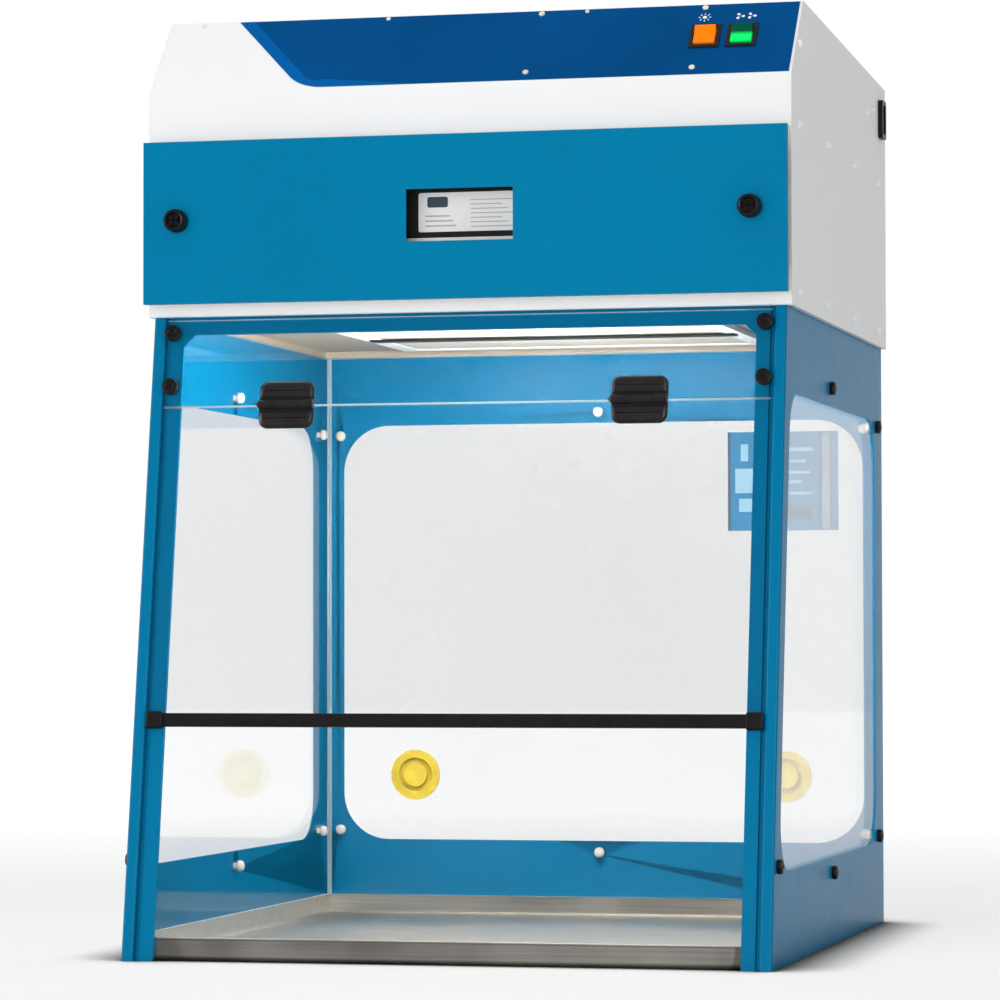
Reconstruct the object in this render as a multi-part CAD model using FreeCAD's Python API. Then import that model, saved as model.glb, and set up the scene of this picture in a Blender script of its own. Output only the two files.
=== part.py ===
import FreeCAD, Part
import math
import os

V = FreeCAD.Vector

# Bench-top filtered fume hood, millimetres.
# X runs to the right, Y to the back and Z up from the bench.
# The model is drawn with Y = 0 at the foot of the front posts and is moved to its
# origin, the middle of its footprint, when it is written.

# Overall sizes
overall_depth = 700.0
cabinet_width = 610.0
cabinet_height = 604.0
front_setback = 99.0
head_overhang = 5.0
head_front_inset = 1.5
head_front_rise = 214.5
control_run = 69.0
control_rise = 76.5
head_top_fall = 16.0

# Sheet and panel stock
cabinet_sheet = 1.5
head_sheet = 1.5
clear_sheet = 4.5
sash_sheet = 4.0
tray_sheet = 1.2
bend_radius = 3.0
panel_gap = 0.2

# Side walls
post_flange_width = 11.5
post_depth = 10.0
rear_flange_width = 11.0
window_bottom = 85.0
window_top_margin = 79.0
window_rear_margin = 55.0
window_front_margin = 30.0
window_corner = 45.0

# Back wall
back_window_side_margin = 20.3
back_window_bottom = 82.0
back_window_top_margin = 73.5
back_window_corner = 50.0

# Front frame, measured square to the leaning front
stile_inset = 16.0
stile_width = 13.0
stile_face = 5.0
rail_margin = 16.06
gusset_leg = 11.0

# Sash, measured along the leaning front
sash_side_margin = 13.5
sash_clearance = 0.2
sash_bottom = 219.5
seam_drop = 87.06
seam_gap = 1.0
sash_top_margin = 3.06
edge_bar_height = 12.5
edge_bar_depth = 9.0
edge_bar_lip = 1.6
bar_end_width = 15.0
bar_end_height = 16.0
bar_end_depth = 12.0
sash_knob_inset = 20.0
sash_knob_low_rise = 19.0
sash_knob_high_rise = 71.0
sash_knob_radius = 7.8
sash_knob_height = 7.5
sash_knob_facets = 16

# Sash hinges
hinge_inset = 135.5
hinge_width = 53.0
hinge_height = 45.0
hinge_leaf = 2.6
hinge_corner = 8.0
barrel_radius = 4.3
barrel_clearance = 0.3
barrel_facets = 16
middle_knuckle = 25.0
knuckle_gap = 0.4
leaf_gap = 0.5
pin_radius = 2.0
pin_clearance = 0.05
pin_tip = 3.0
pin_facets = 12

# Work tray
tray_height = 22.0
tray_front_y = 15.0
tray_corner = 6.0
tray_side_gap = 0.5
tray_hem = 2.4

# Panel screws: Y and Z on the side walls, X and Z on the back wall
side_screw_mid_shift = 2.0
side_screw_rear_margin = 42.0
side_screw_front_y = 34.0
screw_row_margin = 62.0
screw_row_bottom = 70.0
screw_corner_margin = 84.5
screw_corner_bottom = 92.0
back_screw_side_margin = 18.0
screw_head_radius = 6.8
screw_head_height = 5.5
screw_neck = 4.6
screw_play = 0.4
screw_facets = 10
nut_radius = 5.4
nut_height = 6.0
nut_bite = 3.0

# Pass-through ports
port_side_margin = 102.0
port_z = 152.0
port_outer_radius = 27.0
port_tube_radius = 22.0
port_plug_radius = 20.5
port_flange = 3.0
port_clearance = 0.3
port_tail = 4.0
port_grip = 1.8
port_facets = 24

# Information card
card_side_margin = 45.5
card_top_margin = 86.0
card_width = 118.5
card_height = 105.0
card_sheet = 1.0

# Head
ceiling_rise = 7.0
ceiling_opening_side_margin = 125.0
ceiling_opening_rear_margin = 90.0
ceiling_opening_depth = 280.0
fold_flange = 14.0
filter_opening_side_margin = 48.0
filter_opening_rise = 24.0
filter_opening_height = 129.0

# Filter door and its frame
door_side_margin = 1.0
door_rise = 11.0
door_height = 154.0
door_proud = 21.2
door_pan_depth = 8.0
door_window_half_width = 51.2
door_window_height = 49.0
door_frame_margin = 5.0
door_frame_wall = 10.0
door_frame_gap = 0.3
door_slot_height = 52.0
door_slot_gap = 3.0
door_slot_depth = 7.0
door_knob_inset = 34.0
door_knob_rise = 78.3
door_knob_radius = 11.0
door_knob_height = 13.0
door_knob_dimple = 4.0
door_knob_facets = 24
door_stud_radius = 3.0
door_stud_clearance = 0.4
door_stud_reach = 6.0

# Carbon filter
filter_side_gap = 8.0
filter_setback = 7.5
filter_rear_margin = 90.0
filter_rise = 28.0
filter_height = 110.0
filter_wall = 12.0
filter_media_inset = 8.0
filter_rib = 4.0
gasket_height = 6.0
gasket_width = 14.0
rail_flange = 22.0
rail_sheet = 2.0
rail_gap = 0.5

# Pre-filter under the ceiling
pre_frame_border = 18.0
pre_frame_depth = 5.0
pre_pad_depth = 4.0

# Blower
fan_shift = 50.0
deck_sheet = 2.0
fan_inlet_radius = 88.0
inlet_ring_height = 14.0
inlet_ring_flare = 14.0
impeller_radius = 118.0
impeller_height = 58.0
impeller_plate = 2.0
blade_count = 7
blade_thickness = 2.4
blade_inner_radius = 68.0
blade_sweep = 48.0
blade_length = 58.0
fan_facets = 24
shroud_gap = 3.0
hub_radius = 22.0
motor_radius = 50.0
motor_height = 40.0
shaft_radius = 6.0
shaft_clearance = 0.05
bracket_width = 60.0
bracket_half_span = 150.0
bracket_foot = 24.0
bracket_sheet = 3.0

# Exhaust grille in the top cover
grille_half_width = 170.0
grille_front_reach = 100.0
grille_rear_reach = 160.0
grille_border = 16.0
grille_columns = 3
grille_rows = 9
grille_slot_width = 11.0
grille_bar = 14.0

# Controls, measured on the sloping panel from its lower fold
overlay_sheet = 0.5
overlay_left_margin = 70.0
overlay_slant = 79.0
overlay_right_margin = 2.5
overlay_margin = 1.5
overlay_corner = 45.0
lamp_switch_inset = 87.5
blower_switch_inset = 52.5
switch_height = 55.0
bezel_width = 29.0
bezel_length = 33.0
bezel_proud = 1.6
bezel_wall = 3.0
switch_body_depth = 24.0
rocker_gap = 0.4
rocker_proud = 3.2
rocker_depth = 7.0
rocker_tilt = 9.0
rocker_sag = 1.6

# Screws on the sides of the head
head_screw_radius = 4.2
head_screw_height = 4.2
head_screw_facets = 10
head_screw_low_rise = 14.7
head_screw_high_rise = 170.0
head_screw_front_inset = 36.5
head_screw_pitch = 166.5
head_screw_rows = 4
control_screw_y = 137.0
control_screw_drop = 45.0
inlet_screw_radius = 2.8
inlet_screw_rise = 4.0

# Power inlet on the right side
inlet_rear_margin = 38.5
inlet_drop = 36.0
inlet_width = 27.0
inlet_height = 40.0
inlet_proud = 5.0
inlet_body_depth = 24.0
inlet_recess = 12.0
inlet_wall = 3.5
inlet_corner = 4.0
inlet_pin_size = (2.0, 5.0)
inlet_pin_pitch = 10.0
inlet_pin_stagger = 3.0
inlet_pin_setback = 2.0

# Lamp behind the top rail
lamp_side_margin = 20.0
lamp_setback = 20.5
lamp_depth = 32.0
lamp_height = 10.0

# What follows from the sizes above
half_cabinet = cabinet_width / 2
head_width = cabinet_width + 2 * head_overhang
half_head = head_width / 2
head_front_y = front_setback - head_front_inset
head_front_top = cabinet_height + head_front_rise
control_top_y = head_front_y + control_run
control_top_z = head_front_top + control_rise
head_rear_top = control_top_z - head_top_fall
lean = math.atan2(front_setback, cabinet_height)
front_slope = math.hypot(front_setback, cabinet_height)
control_lean = math.atan2(control_run, control_rise)
control_length = math.hypot(control_run, control_rise)
wall_inside_x = half_cabinet - cabinet_sheet
back_wall_y = overall_depth - 2 * cabinet_sheet
back_clear_y = back_wall_y - clear_sheet
head_inside_x = half_head - head_sheet
head_inside_rear = overall_depth - head_sheet

window_top = cabinet_height - window_top_margin
window_rear_y = overall_depth - window_rear_margin
back_window_half_width = half_cabinet - back_window_side_margin
back_window_top = cabinet_height - back_window_top_margin
stile_outer_x = half_cabinet - stile_inset
stile_inner_x = stile_outer_x - stile_width
rail_bottom = front_slope - rail_margin

sash_half_width = half_cabinet - sash_side_margin
seam_height = front_slope - seam_drop
upper_sash_top = front_slope - sash_top_margin
sash_knob_x = half_cabinet - sash_knob_inset
sash_knob_heights = (seam_height + sash_knob_low_rise, seam_height + sash_knob_high_rise)
hinge_x = half_cabinet - hinge_inset
hinge_axis_depth = stile_face - sash_clearance - sash_sheet - barrel_radius - barrel_clearance

side_screw_mid_y = overall_depth / 2 + side_screw_mid_shift
side_screw_rear_y = overall_depth - side_screw_rear_margin
screw_row_top = cabinet_height - screw_row_margin
screw_corner_top = cabinet_height - screw_corner_margin
back_screw_corner_x = half_cabinet - back_screw_side_margin
port_x = half_cabinet - port_side_margin
card_right = half_cabinet - card_side_margin
card_left = card_right - card_width
card_top = cabinet_height - card_top_margin
card_bottom = card_top - card_height

ceiling_z = cabinet_height + ceiling_rise
ceiling_opening_half_width = half_cabinet - ceiling_opening_side_margin
ceiling_opening_rear_y = overall_depth - ceiling_opening_rear_margin
ceiling_opening_front_y = ceiling_opening_rear_y - ceiling_opening_depth
filter_opening_half_width = half_head - filter_opening_side_margin
filter_opening_bottom = cabinet_height + filter_opening_rise
filter_opening_top = filter_opening_bottom + filter_opening_height
door_half_width = half_head - door_side_margin
door_bottom = cabinet_height + door_rise
door_top = door_bottom + door_height
door_front_y = head_front_y - door_proud
door_knob_x = door_half_width - door_knob_inset
door_knob_z = door_bottom + door_knob_rise
filter_half_width = filter_opening_half_width - filter_side_gap
filter_front_y = head_front_y + filter_setback
filter_rear_y = overall_depth - filter_rear_margin
filter_bottom = cabinet_height + filter_rise
filter_top = filter_bottom + filter_height
deck_z = filter_top + gasket_height
fan_y = overall_depth / 2 + fan_shift
grille_front_y = fan_y - grille_front_reach
grille_rear_y = fan_y + grille_rear_reach

overlay_left_top_x = -half_head + overlay_left_margin
overlay_left_corner_x = overlay_left_top_x + overlay_slant
overlay_right_x = half_head - overlay_right_margin
lamp_switch_x = half_head - lamp_switch_inset
blower_switch_x = half_head - blower_switch_inset
inlet_y = overall_depth - inlet_rear_margin
inlet_z = head_rear_top - inlet_drop
lamp_half_width = half_cabinet - lamp_side_margin
lamp_front_y = head_front_y + lamp_setback
lamp_rear_y = lamp_front_y + lamp_depth


def front_y(z):
    """Y of the leaning front plane at a height."""
    return z * math.tan(lean)


def block(x0, x1, y0, y1, z0, z1):
    return Part.makeBox(x1 - x0, y1 - y0, z1 - z0, V(x0, y0, z0))


def rod(radius, length, base, axis):
    return Part.makeCylinder(radius, length, base, axis)


def ring_of_points(sides, radius, base, axis):
    """Corners of a regular polygon square to an axis."""
    out = V(axis).normalize()
    across = out.cross(V(1, 0, 0)) if abs(out.x) < 0.9 else out.cross(V(0, 1, 0))
    across.normalize()
    up = out.cross(across)
    points = []
    for i in range(sides):
        angle = 2 * math.pi * (i + 0.5) / sides
        points.append(base + across * (radius * math.cos(angle)) + up * (radius * math.sin(angle)))
    return points + points[:1]


def faceted_rod(sides, radius, length, base, axis):
    """Bar of regular section, for squares, hexagons and small turned pieces in number."""
    section = Part.Face(Part.makePolygon(ring_of_points(sides, radius, base, axis)))
    return section.extrude(V(axis).normalize() * length)


def faceted_cone(sides, low_radius, high_radius, length, base, axis):
    """Frustum with flat sides, to crown a faceted rod."""
    low = ring_of_points(sides, low_radius, base, axis)
    high = ring_of_points(sides, high_radius, base + V(axis).normalize() * length, axis)
    faces = [Part.Face(Part.makePolygon(low)), Part.Face(Part.makePolygon(high))]
    for i in range(sides):
        faces.append(Part.Face(Part.makePolygon([low[i], low[i + 1], high[i + 1], high[i], low[i]])))
    cone = Part.Solid(Part.Shell(faces))
    if cone.Volume < 0:
        cone.reverse()
    return cone


def square_bar(width, length, base, axis):
    return faceted_rod(4, width / math.sqrt(2), length, base, axis)


def neck_hole(length, base, axis):
    """Square hole that keeps a screw's neck from turning."""
    return square_bar(screw_neck + screw_play, length, base, axis)


def outline(points, radii, place):
    """Closed wire through the points, with each corner rounded by its radius."""
    count = len(points)
    edges = []
    ends = []
    for i in range(count):
        corner = V(points[i][0], points[i][1], 0)
        before = V(points[i - 1][0], points[i - 1][1], 0)
        after = V(points[(i + 1) % count][0], points[(i + 1) % count][1], 0)
        to_before = (before - corner).normalize()
        to_after = (after - corner).normalize()
        radius = radii[i]
        if radius <= 0:
            ends.append((corner, corner, None))
            continue
        half = to_before.getAngle(to_after) / 2
        reach = radius / math.tan(half)
        middle = (to_before + to_after).normalize()
        centre = corner + middle * (radius / math.sin(half))
        ends.append((corner + to_before * reach, corner + to_after * reach, centre - middle * radius))
    for i in range(count):
        start, finish, crown = ends[i]
        following = ends[(i + 1) % count][0]
        if crown is not None:
            edges.append(Part.Arc(place(start), place(crown), place(finish)).toShape())
        if (following - finish).Length > 1e-6:
            edges.append(Part.LineSegment(place(finish), place(following)).toShape())
    return Part.Wire(edges)


def extruded(points, radii, place, direction):
    return Part.Face(outline(points, radii, place)).extrude(direction)


def plate_x(points, radii, x0, x1):
    """Plate with a (Y, Z) outline between two X planes."""
    return extruded(points, radii, lambda p: V(x0, p.x, p.y), V(x1 - x0, 0, 0))


def plate_y(points, radii, y0, y1):
    """Plate with an (X, Z) outline between two Y planes."""
    return extruded(points, radii, lambda p: V(p.x, y0, p.y), V(0, y1 - y0, 0))


def plate_z(points, radii, z0, z1):
    """Plate with an (X, Y) outline between two Z planes."""
    return extruded(points, radii, lambda p: V(p.x, p.y, z0), V(0, 0, z1 - z0))


def rectangle(a0, a1, b0, b1):
    return [(a0, b0), (a1, b0), (a1, b1), (a0, b1)]


def folded(points, sheet, radius):
    """Outline of a sheet of one thickness, folded along the points; a radius of 0 leaves sharp bends."""
    path = [V(a, b, 0) for a, b in points]
    normals = []
    for start, finish in zip(path, path[1:]):
        run = (finish - start).normalize()
        normals.append(V(-run.y, run.x, 0))
    inner = [path[0] + normals[0] * sheet]
    outer_radii = [0.0]
    inner_radii = [0.0]
    for i in range(1, len(path) - 1):
        before, after = normals[i - 1], normals[i]
        miter = (before + after).normalize()
        inner.append(path[i] + miter * (sheet / miter.dot(before)))
        inward = before.cross(after).z > 0
        outer_radii.append(radius if inward else radius - sheet)
        inner_radii.append(radius - sheet if inward else radius)
    inner.append(path[-1] + normals[-1] * sheet)
    outer_radii.append(0.0)
    inner_radii.append(0.0)
    corners = [(p.x, p.y) for p in path] + [(p.x, p.y) for p in reversed(inner)]
    return corners, outer_radii + inner_radii[::-1]


def leaned(shape):
    """Turn a piece drawn upright into the plane of the leaning front."""
    shape.rotate(V(0, 0, 0), V(1, 0, 0), -math.degrees(lean))
    return shape


def on_control_panel(shape):
    """Turn a piece drawn upright on Y = 0 onto the sloping control panel."""
    shape.rotate(V(0, 0, 0), V(1, 0, 0), -math.degrees(control_lean))
    shape.translate(V(0, head_front_y, head_front_top))
    return shape


def mirrored(shape):
    return shape.mirror(V(0, 0, 0), V(1, 0, 0))


def group(shapes):
    return Part.makeCompound(shapes)


def side_screw_places():
    return [
        (side_screw_mid_y, screw_row_top),
        (side_screw_rear_y, screw_corner_top),
        (side_screw_rear_y, screw_corner_bottom),
        (side_screw_mid_y, screw_row_bottom),
        (side_screw_front_y, screw_corner_bottom),
    ]


def back_screw_places():
    places = [(0.0, screw_row_top), (0.0, screw_row_bottom)]
    for x in (-back_screw_corner_x, back_screw_corner_x):
        places.append((x, screw_corner_top))
        places.append((x, screw_corner_bottom))
    return places


def side_window_points():
    low = front_y(window_bottom) + window_front_margin
    high = front_y(window_top) + window_front_margin
    return [
        (low, window_bottom),
        (window_rear_y, window_bottom),
        (window_rear_y, window_top),
        (high, window_top),
    ]


def right_side_wall():
    flange_edge = half_cabinet - post_flange_width
    fold = [
        (stile_inner_x, post_depth - cabinet_sheet),
        (flange_edge, post_depth - cabinet_sheet),
        (flange_edge, 0.0),
        (half_cabinet, 0.0),
        (half_cabinet, 2 * overall_depth),
    ]
    corners, radii = folded(fold, cabinet_sheet, bend_radius)
    skin = plate_z(corners, radii, -overall_depth, 2 * overall_depth)
    rear_start = overall_depth - bend_radius
    room = block(0, head_width, -overall_depth, rear_start, 0, cabinet_height)
    skin = leaned(skin).common(room)
    rear_fold = [
        (half_cabinet, rear_start),
        (half_cabinet, overall_depth),
        (half_cabinet - rear_flange_width, overall_depth),
    ]
    corners, radii = folded(rear_fold, cabinet_sheet, bend_radius)
    wall = skin.fuse(plate_z(corners, radii, 0, cabinet_height)).removeSplitter()
    outer = half_cabinet + panel_gap
    window = plate_x(side_window_points(), [window_corner] * 4, wall_inside_x - panel_gap, outer)
    wall = wall.cut(window)
    for y, z in side_screw_places():
        wall = wall.cut(neck_hole(half_cabinet, V(wall_inside_x - 1, y, z), V(1, 0, 0)))
    for s in sash_knob_heights:
        wall = wall.cut(leaned(neck_hole(post_depth, V(sash_knob_x, 1, s), V(0, 1, 0))))
    return wall


def back_wall():
    half = half_cabinet - bend_radius - panel_gap
    blank = rectangle(-half, half, 0, cabinet_height)
    sheet = plate_y(blank, [0] * 4, back_wall_y, back_wall_y + cabinet_sheet)
    corners = rectangle(-back_window_half_width, back_window_half_width, back_window_bottom, back_window_top)
    window = plate_y(corners, [back_window_corner] * 4, back_wall_y - 1, overall_depth)
    sheet = sheet.cut(window)
    for x, z in back_screw_places():
        sheet = sheet.cut(neck_hole(10, V(x, back_wall_y - 1, z), V(0, 1, 0)))
    return sheet


def portal(inset, low):
    """Outline of the front frame, drawn in by an inset from all its edges."""
    outer = stile_outer_x - inset
    inner = stile_inner_x + inset
    top = cabinet_height / math.cos(lean) + post_depth * math.tan(lean) - inset
    rail = rail_bottom + inset
    leg = gusset_leg
    return [
        (-outer, low), (-inner, low), (-inner, rail - leg), (-inner + leg, rail),
        (inner - leg, rail), (inner, rail - leg), (inner, low), (outer, low),
        (outer, top), (-outer, top),
    ]


def front_frame():
    low = -overall_depth / 4
    back = post_depth - cabinet_sheet
    frame = plate_y(portal(0, low), [0] * 10, stile_face, back)
    pocket = plate_y(portal(cabinet_sheet, 2 * low), [0] * 10, stile_face + cabinet_sheet, back + 1)
    frame = frame.cut(pocket)
    for x in (-sash_knob_x, sash_knob_x):
        for s in sash_knob_heights:
            frame = frame.cut(neck_hole(post_depth, V(x, 1, s), V(0, 1, 0)))
    room = block(-half_cabinet, half_cabinet, -overall_depth, overall_depth, 0, cabinet_height)
    return leaned(frame).common(room)


def work_tray():
    half = wall_inside_x - tray_side_gap
    rear = back_wall_y - tray_side_gap
    outer = block(-half, half, tray_front_y, rear, 0, tray_height)
    lower = [e for e in outer.Edges if e.BoundBox.ZMax < 0.1]
    outer = outer.makeFillet(tray_corner, lower)
    half -= tray_sheet
    inner = block(-half, half, tray_front_y + tray_sheet, rear - tray_sheet, tray_sheet, 2 * tray_height)
    lower = [e for e in inner.Edges if e.BoundBox.ZMax < tray_sheet + 0.1]
    inner = inner.makeFillet(tray_corner - tray_sheet, lower)
    pan = outer.cut(inner)
    length = 2 * stile_inner_x
    hem = rod(tray_hem / 2, length, V(-stile_inner_x, tray_front_y, tray_height - tray_hem / 2), V(1, 0, 0))
    return pan.fuse(hem).removeSplitter()


def right_clear_panel():
    low = tray_height + panel_gap
    high = cabinet_height - panel_gap
    start = post_depth / math.cos(lean) + panel_gap
    rear = back_wall_y - panel_gap
    points = [(front_y(low) + start, low), (rear, low), (rear, high), (front_y(high) + start, high)]
    panel = plate_x(points, [0] * 4, wall_inside_x - clear_sheet, wall_inside_x)
    for y, z in side_screw_places():
        panel = panel.cut(neck_hole(2 * clear_sheet, V(wall_inside_x - 6, y, z), V(1, 0, 0)))
    return panel


def back_clear_panel():
    half = wall_inside_x - clear_sheet - panel_gap
    points = rectangle(-half, half, tray_height + panel_gap, cabinet_height - panel_gap)
    panel = plate_y(points, [0] * 4, back_clear_y, back_wall_y)
    for x, z in back_screw_places():
        panel = panel.cut(neck_hole(2 * clear_sheet, V(x, back_clear_y - 1, z), V(0, 1, 0)))
    for x in (-port_x, port_x):
        panel = panel.cut(faceted_rod(
            port_facets, port_tube_radius + port_clearance, 2 * clear_sheet,
            V(x, back_clear_y - 1, port_z), V(0, 1, 0),
        ))
    return panel


def sash_panel(low, high):
    rear = stile_face - sash_clearance
    corners = rectangle(-sash_half_width, sash_half_width, low, high)
    return plate_y(corners, [0] * 4, rear - sash_sheet, rear)


def upper_sash_panel():
    panel = sash_panel(seam_height + seam_gap / 2, upper_sash_top)
    for x in (-sash_knob_x, sash_knob_x):
        for s in sash_knob_heights:
            panel = panel.cut(neck_hole(20, V(x, -9, s), V(0, 1, 0)))
    return leaned(panel)


def lower_sash_panel():
    return leaned(sash_panel(sash_bottom + edge_bar_lip, seam_height - seam_gap / 2))


def hinge_leaf_blank(x, upper):
    """One leaf with rounded outer corners and half the barrel, before the knuckles are parted."""
    face = stile_face - sash_clearance - sash_sheet
    half = hinge_width / 2
    reach = hinge_height / 2
    side = 1 if upper else -1
    corners = [(x - half, seam_height + side * leaf_gap), (x + half, seam_height + side * leaf_gap)]
    corners += [(x + half, seam_height + side * reach), (x - half, seam_height + side * reach)]
    radii = [0, 0, hinge_corner, hinge_corner]
    return plate_y(corners, radii, face - hinge_leaf, face)


def knuckle(x0, x1):
    start = V(x0, hinge_axis_depth, seam_height)
    return faceted_rod(barrel_facets, barrel_radius, x1 - x0, start, V(1, 0, 0))


def hinge_leaf_solid(x, upper):
    half = hinge_width / 2
    mid = middle_knuckle / 2
    leaf = hinge_leaf_blank(x, upper)
    swept = barrel_radius + knuckle_gap
    if upper:
        spans = [(x - half, x - mid), (x + mid, x + half)]
        keep_out = [(x - mid - knuckle_gap, x + mid + knuckle_gap)]
    else:
        spans = [(x - mid + knuckle_gap, x + mid - knuckle_gap)]
        keep_out = [(x - half - 1, x - mid + knuckle_gap), (x + mid - knuckle_gap, x + half + 1)]
    for x0, x1 in keep_out:
        leaf = leaf.cut(rod(swept, x1 - x0, V(x0, hinge_axis_depth, seam_height), V(1, 0, 0)))
    for x0, x1 in spans:
        leaf = leaf.fuse(knuckle(x0, x1))
    start = V(x - hinge_width, hinge_axis_depth, seam_height)
    if upper:
        pin_hole = faceted_rod(pin_facets, pin_radius, 2 * hinge_width, start, V(1, 0, 0))
    else:
        pin_hole = rod(pin_radius + pin_clearance, 2 * hinge_width, start, V(1, 0, 0))
    return leaned(leaf.cut(pin_hole).removeSplitter())


def hinge_leaves(upper):
    return group([hinge_leaf_solid(x, upper) for x in (-hinge_x, hinge_x)])


def hinge_pins():
    pins = []
    for x in (-hinge_x, hinge_x):
        start = V(x - hinge_width / 2, hinge_axis_depth, seam_height)
        body = faceted_rod(pin_facets, pin_radius, hinge_width, start, V(1, 0, 0))
        tip = faceted_cone(pin_facets, pin_radius + 1.0, 1.0, pin_tip, start, V(-1, 0, 0))
        pins.append(leaned(body.fuse(tip).removeSplitter()))
    return group(pins)


def sash_edge_bar():
    rear = stile_face - sash_clearance
    middle = rear - sash_sheet / 2
    end = sash_half_width - bar_end_width
    front = middle - edge_bar_depth / 2
    top = sash_bottom + edge_bar_height
    slot_front = rear - sash_sheet
    points = [
        (front, sash_bottom), (rear, sash_bottom), (rear, sash_bottom + edge_bar_lip),
        (slot_front, sash_bottom + edge_bar_lip), (slot_front, top), (front, top),
    ]
    radii = [1.5, 0, 0, 0, 0, 1.5]
    bar = plate_x(points, radii, -end, end)
    return leaned(bar)


def sash_bar_ends():
    rear = stile_face - sash_clearance
    slot_front = rear - sash_sheet
    low = sash_bottom - (bar_end_height - edge_bar_height) / 2
    front = slot_front - (bar_end_depth - sash_sheet) / 2
    points = [
        (front, low), (rear, low), (rear, sash_bottom + edge_bar_lip),
        (slot_front, sash_bottom + edge_bar_lip), (slot_front, low + bar_end_height),
        (front, low + bar_end_height),
    ]
    radii = [2.5, 0, 0, 0, 0, 2.5]
    right = plate_x(points, radii, sash_half_width - bar_end_width, sash_half_width)
    right = leaned(right)
    return group([mirrored(right), right])


def dome_head(sides, radius, height, base, axis):
    """Low round head: a short drum with a coned crown."""
    drum = faceted_rod(sides, radius, height * 0.5, base, axis)
    crown = faceted_cone(sides, radius, radius * 0.55, height * 0.5, base + axis * (height * 0.5), axis)
    return drum.fuse(crown)


def sash_knobs():
    knobs = []
    face = stile_face - sash_clearance - sash_sheet
    for x in (-sash_knob_x, sash_knob_x):
        for s in sash_knob_heights:
            base = V(x, face, s)
            head = dome_head(sash_knob_facets, sash_knob_radius, sash_knob_height, base, V(0, -1, 0))
            stud = square_bar(screw_neck, post_depth + 4 - face, V(x, face, s), V(0, 1, 0))
            knobs.append(leaned(head.fuse(stud).removeSplitter()))
    return group(knobs)


def screw_axes():
    """Place on the inner face of the sheet metal, and the outward direction, of each panel screw."""
    axes = []
    for y, z in side_screw_places():
        axes.append((V(wall_inside_x, y, z), V(1, 0, 0)))
        axes.append((V(-wall_inside_x, y, z), V(-1, 0, 0)))
    for x, z in back_screw_places():
        axes.append((V(x, back_wall_y, z), V(0, 1, 0)))
    return axes


def panel_screws():
    screws = []
    for place, out in screw_axes():
        face = place + out * cabinet_sheet
        head = dome_head(screw_facets, screw_head_radius, screw_head_height, face, out)
        neck = square_bar(screw_neck, cabinet_sheet + clear_sheet + nut_bite, face, out * -1)
        screws.append(head.fuse(neck).removeSplitter())
    return group(screws)


def panel_nuts():
    nuts = []
    for place, out in screw_axes():
        base = place - out * clear_sheet
        body = dome_head(6, nut_radius, nut_height, base, out * -1)
        socket = square_bar(screw_neck + 2 * pin_clearance, nut_bite, base, out * -1)
        nuts.append(body.cut(socket))
    return group(nuts)


def port_flanges():
    flanges = []
    for x in (-port_x, port_x):
        base = V(x, back_clear_y, port_z)
        face = faceted_rod(port_facets, port_outer_radius, port_flange, base, V(0, -1, 0))
        tube = faceted_rod(port_facets, port_tube_radius, clear_sheet + port_tail, base, V(0, 1, 0))
        bore = faceted_rod(
            port_facets, port_plug_radius + port_clearance, 60, V(x, back_clear_y - 30, port_z), V(0, 1, 0)
        )
        flanges.append(face.fuse(tube).cut(bore).removeSplitter())
    return group(flanges)


def port_plugs():
    plugs = []
    for x in (-port_x, port_x):
        base = V(x, back_clear_y - port_flange, port_z)
        plug = faceted_rod(port_facets, port_plug_radius, port_flange + clear_sheet, base, V(0, 1, 0))
        grip = faceted_cone(
            port_facets, port_plug_radius + port_grip, port_plug_radius, port_grip, base, V(0, -1, 0)
        )
        plugs.append(plug.fuse(grip).removeSplitter())
    return group(plugs)


def information_card():
    points = rectangle(card_left, card_right, card_bottom, card_top)
    return plate_y(points, [0] * 4, back_clear_y - card_sheet, back_clear_y)


def head_front_panel():
    top_run = fold_flange
    drop = (control_top_z - head_rear_top) / (overall_depth - control_top_y)
    fold = [
        (head_front_y + fold_flange, cabinet_height),
        (head_front_y, cabinet_height),
        (head_front_y, head_front_top),
        (control_top_y, control_top_z),
        (control_top_y + top_run, control_top_z - drop * top_run),
    ]
    corners, radii = folded([(a, b) for a, b in reversed(fold)], head_sheet, 2.0)
    panel = plate_x(corners, radii, -head_inside_x, head_inside_x)
    corners = rectangle(
        -filter_opening_half_width, filter_opening_half_width, filter_opening_bottom, filter_opening_top
    )
    panel = panel.cut(plate_y(corners, [0] * 4, head_front_y - 1, head_front_y + 5))
    for x in (-door_knob_x, door_knob_x):
        panel = panel.cut(door_stud_hole(x, head_front_y))
    for x in (lamp_switch_x, blower_switch_x):
        panel = panel.cut(on_control_panel(switch_cutout(x)))
    return panel


def door_stud_hole(x, y):
    """Clearance hole for a filter door's thumbscrew in a sheet whose face is at y."""
    base = V(x, y - head_sheet, door_knob_z)
    return faceted_rod(16, door_stud_radius + door_stud_clearance, 3 * head_sheet, base, V(0, 1, 0))


def switch_cutout(x):
    half = bezel_width / 2 - bezel_wall + rocker_gap
    reach = bezel_length / 2 - bezel_wall + rocker_gap
    return block(x - half, x + half, -4, 6, switch_height - reach, switch_height + reach)


def head_side_points():
    return [
        (head_front_y, cabinet_height),
        (overall_depth, cabinet_height),
        (overall_depth, head_rear_top),
        (control_top_y, control_top_z),
        (head_front_y, head_front_top),
    ]


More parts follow.
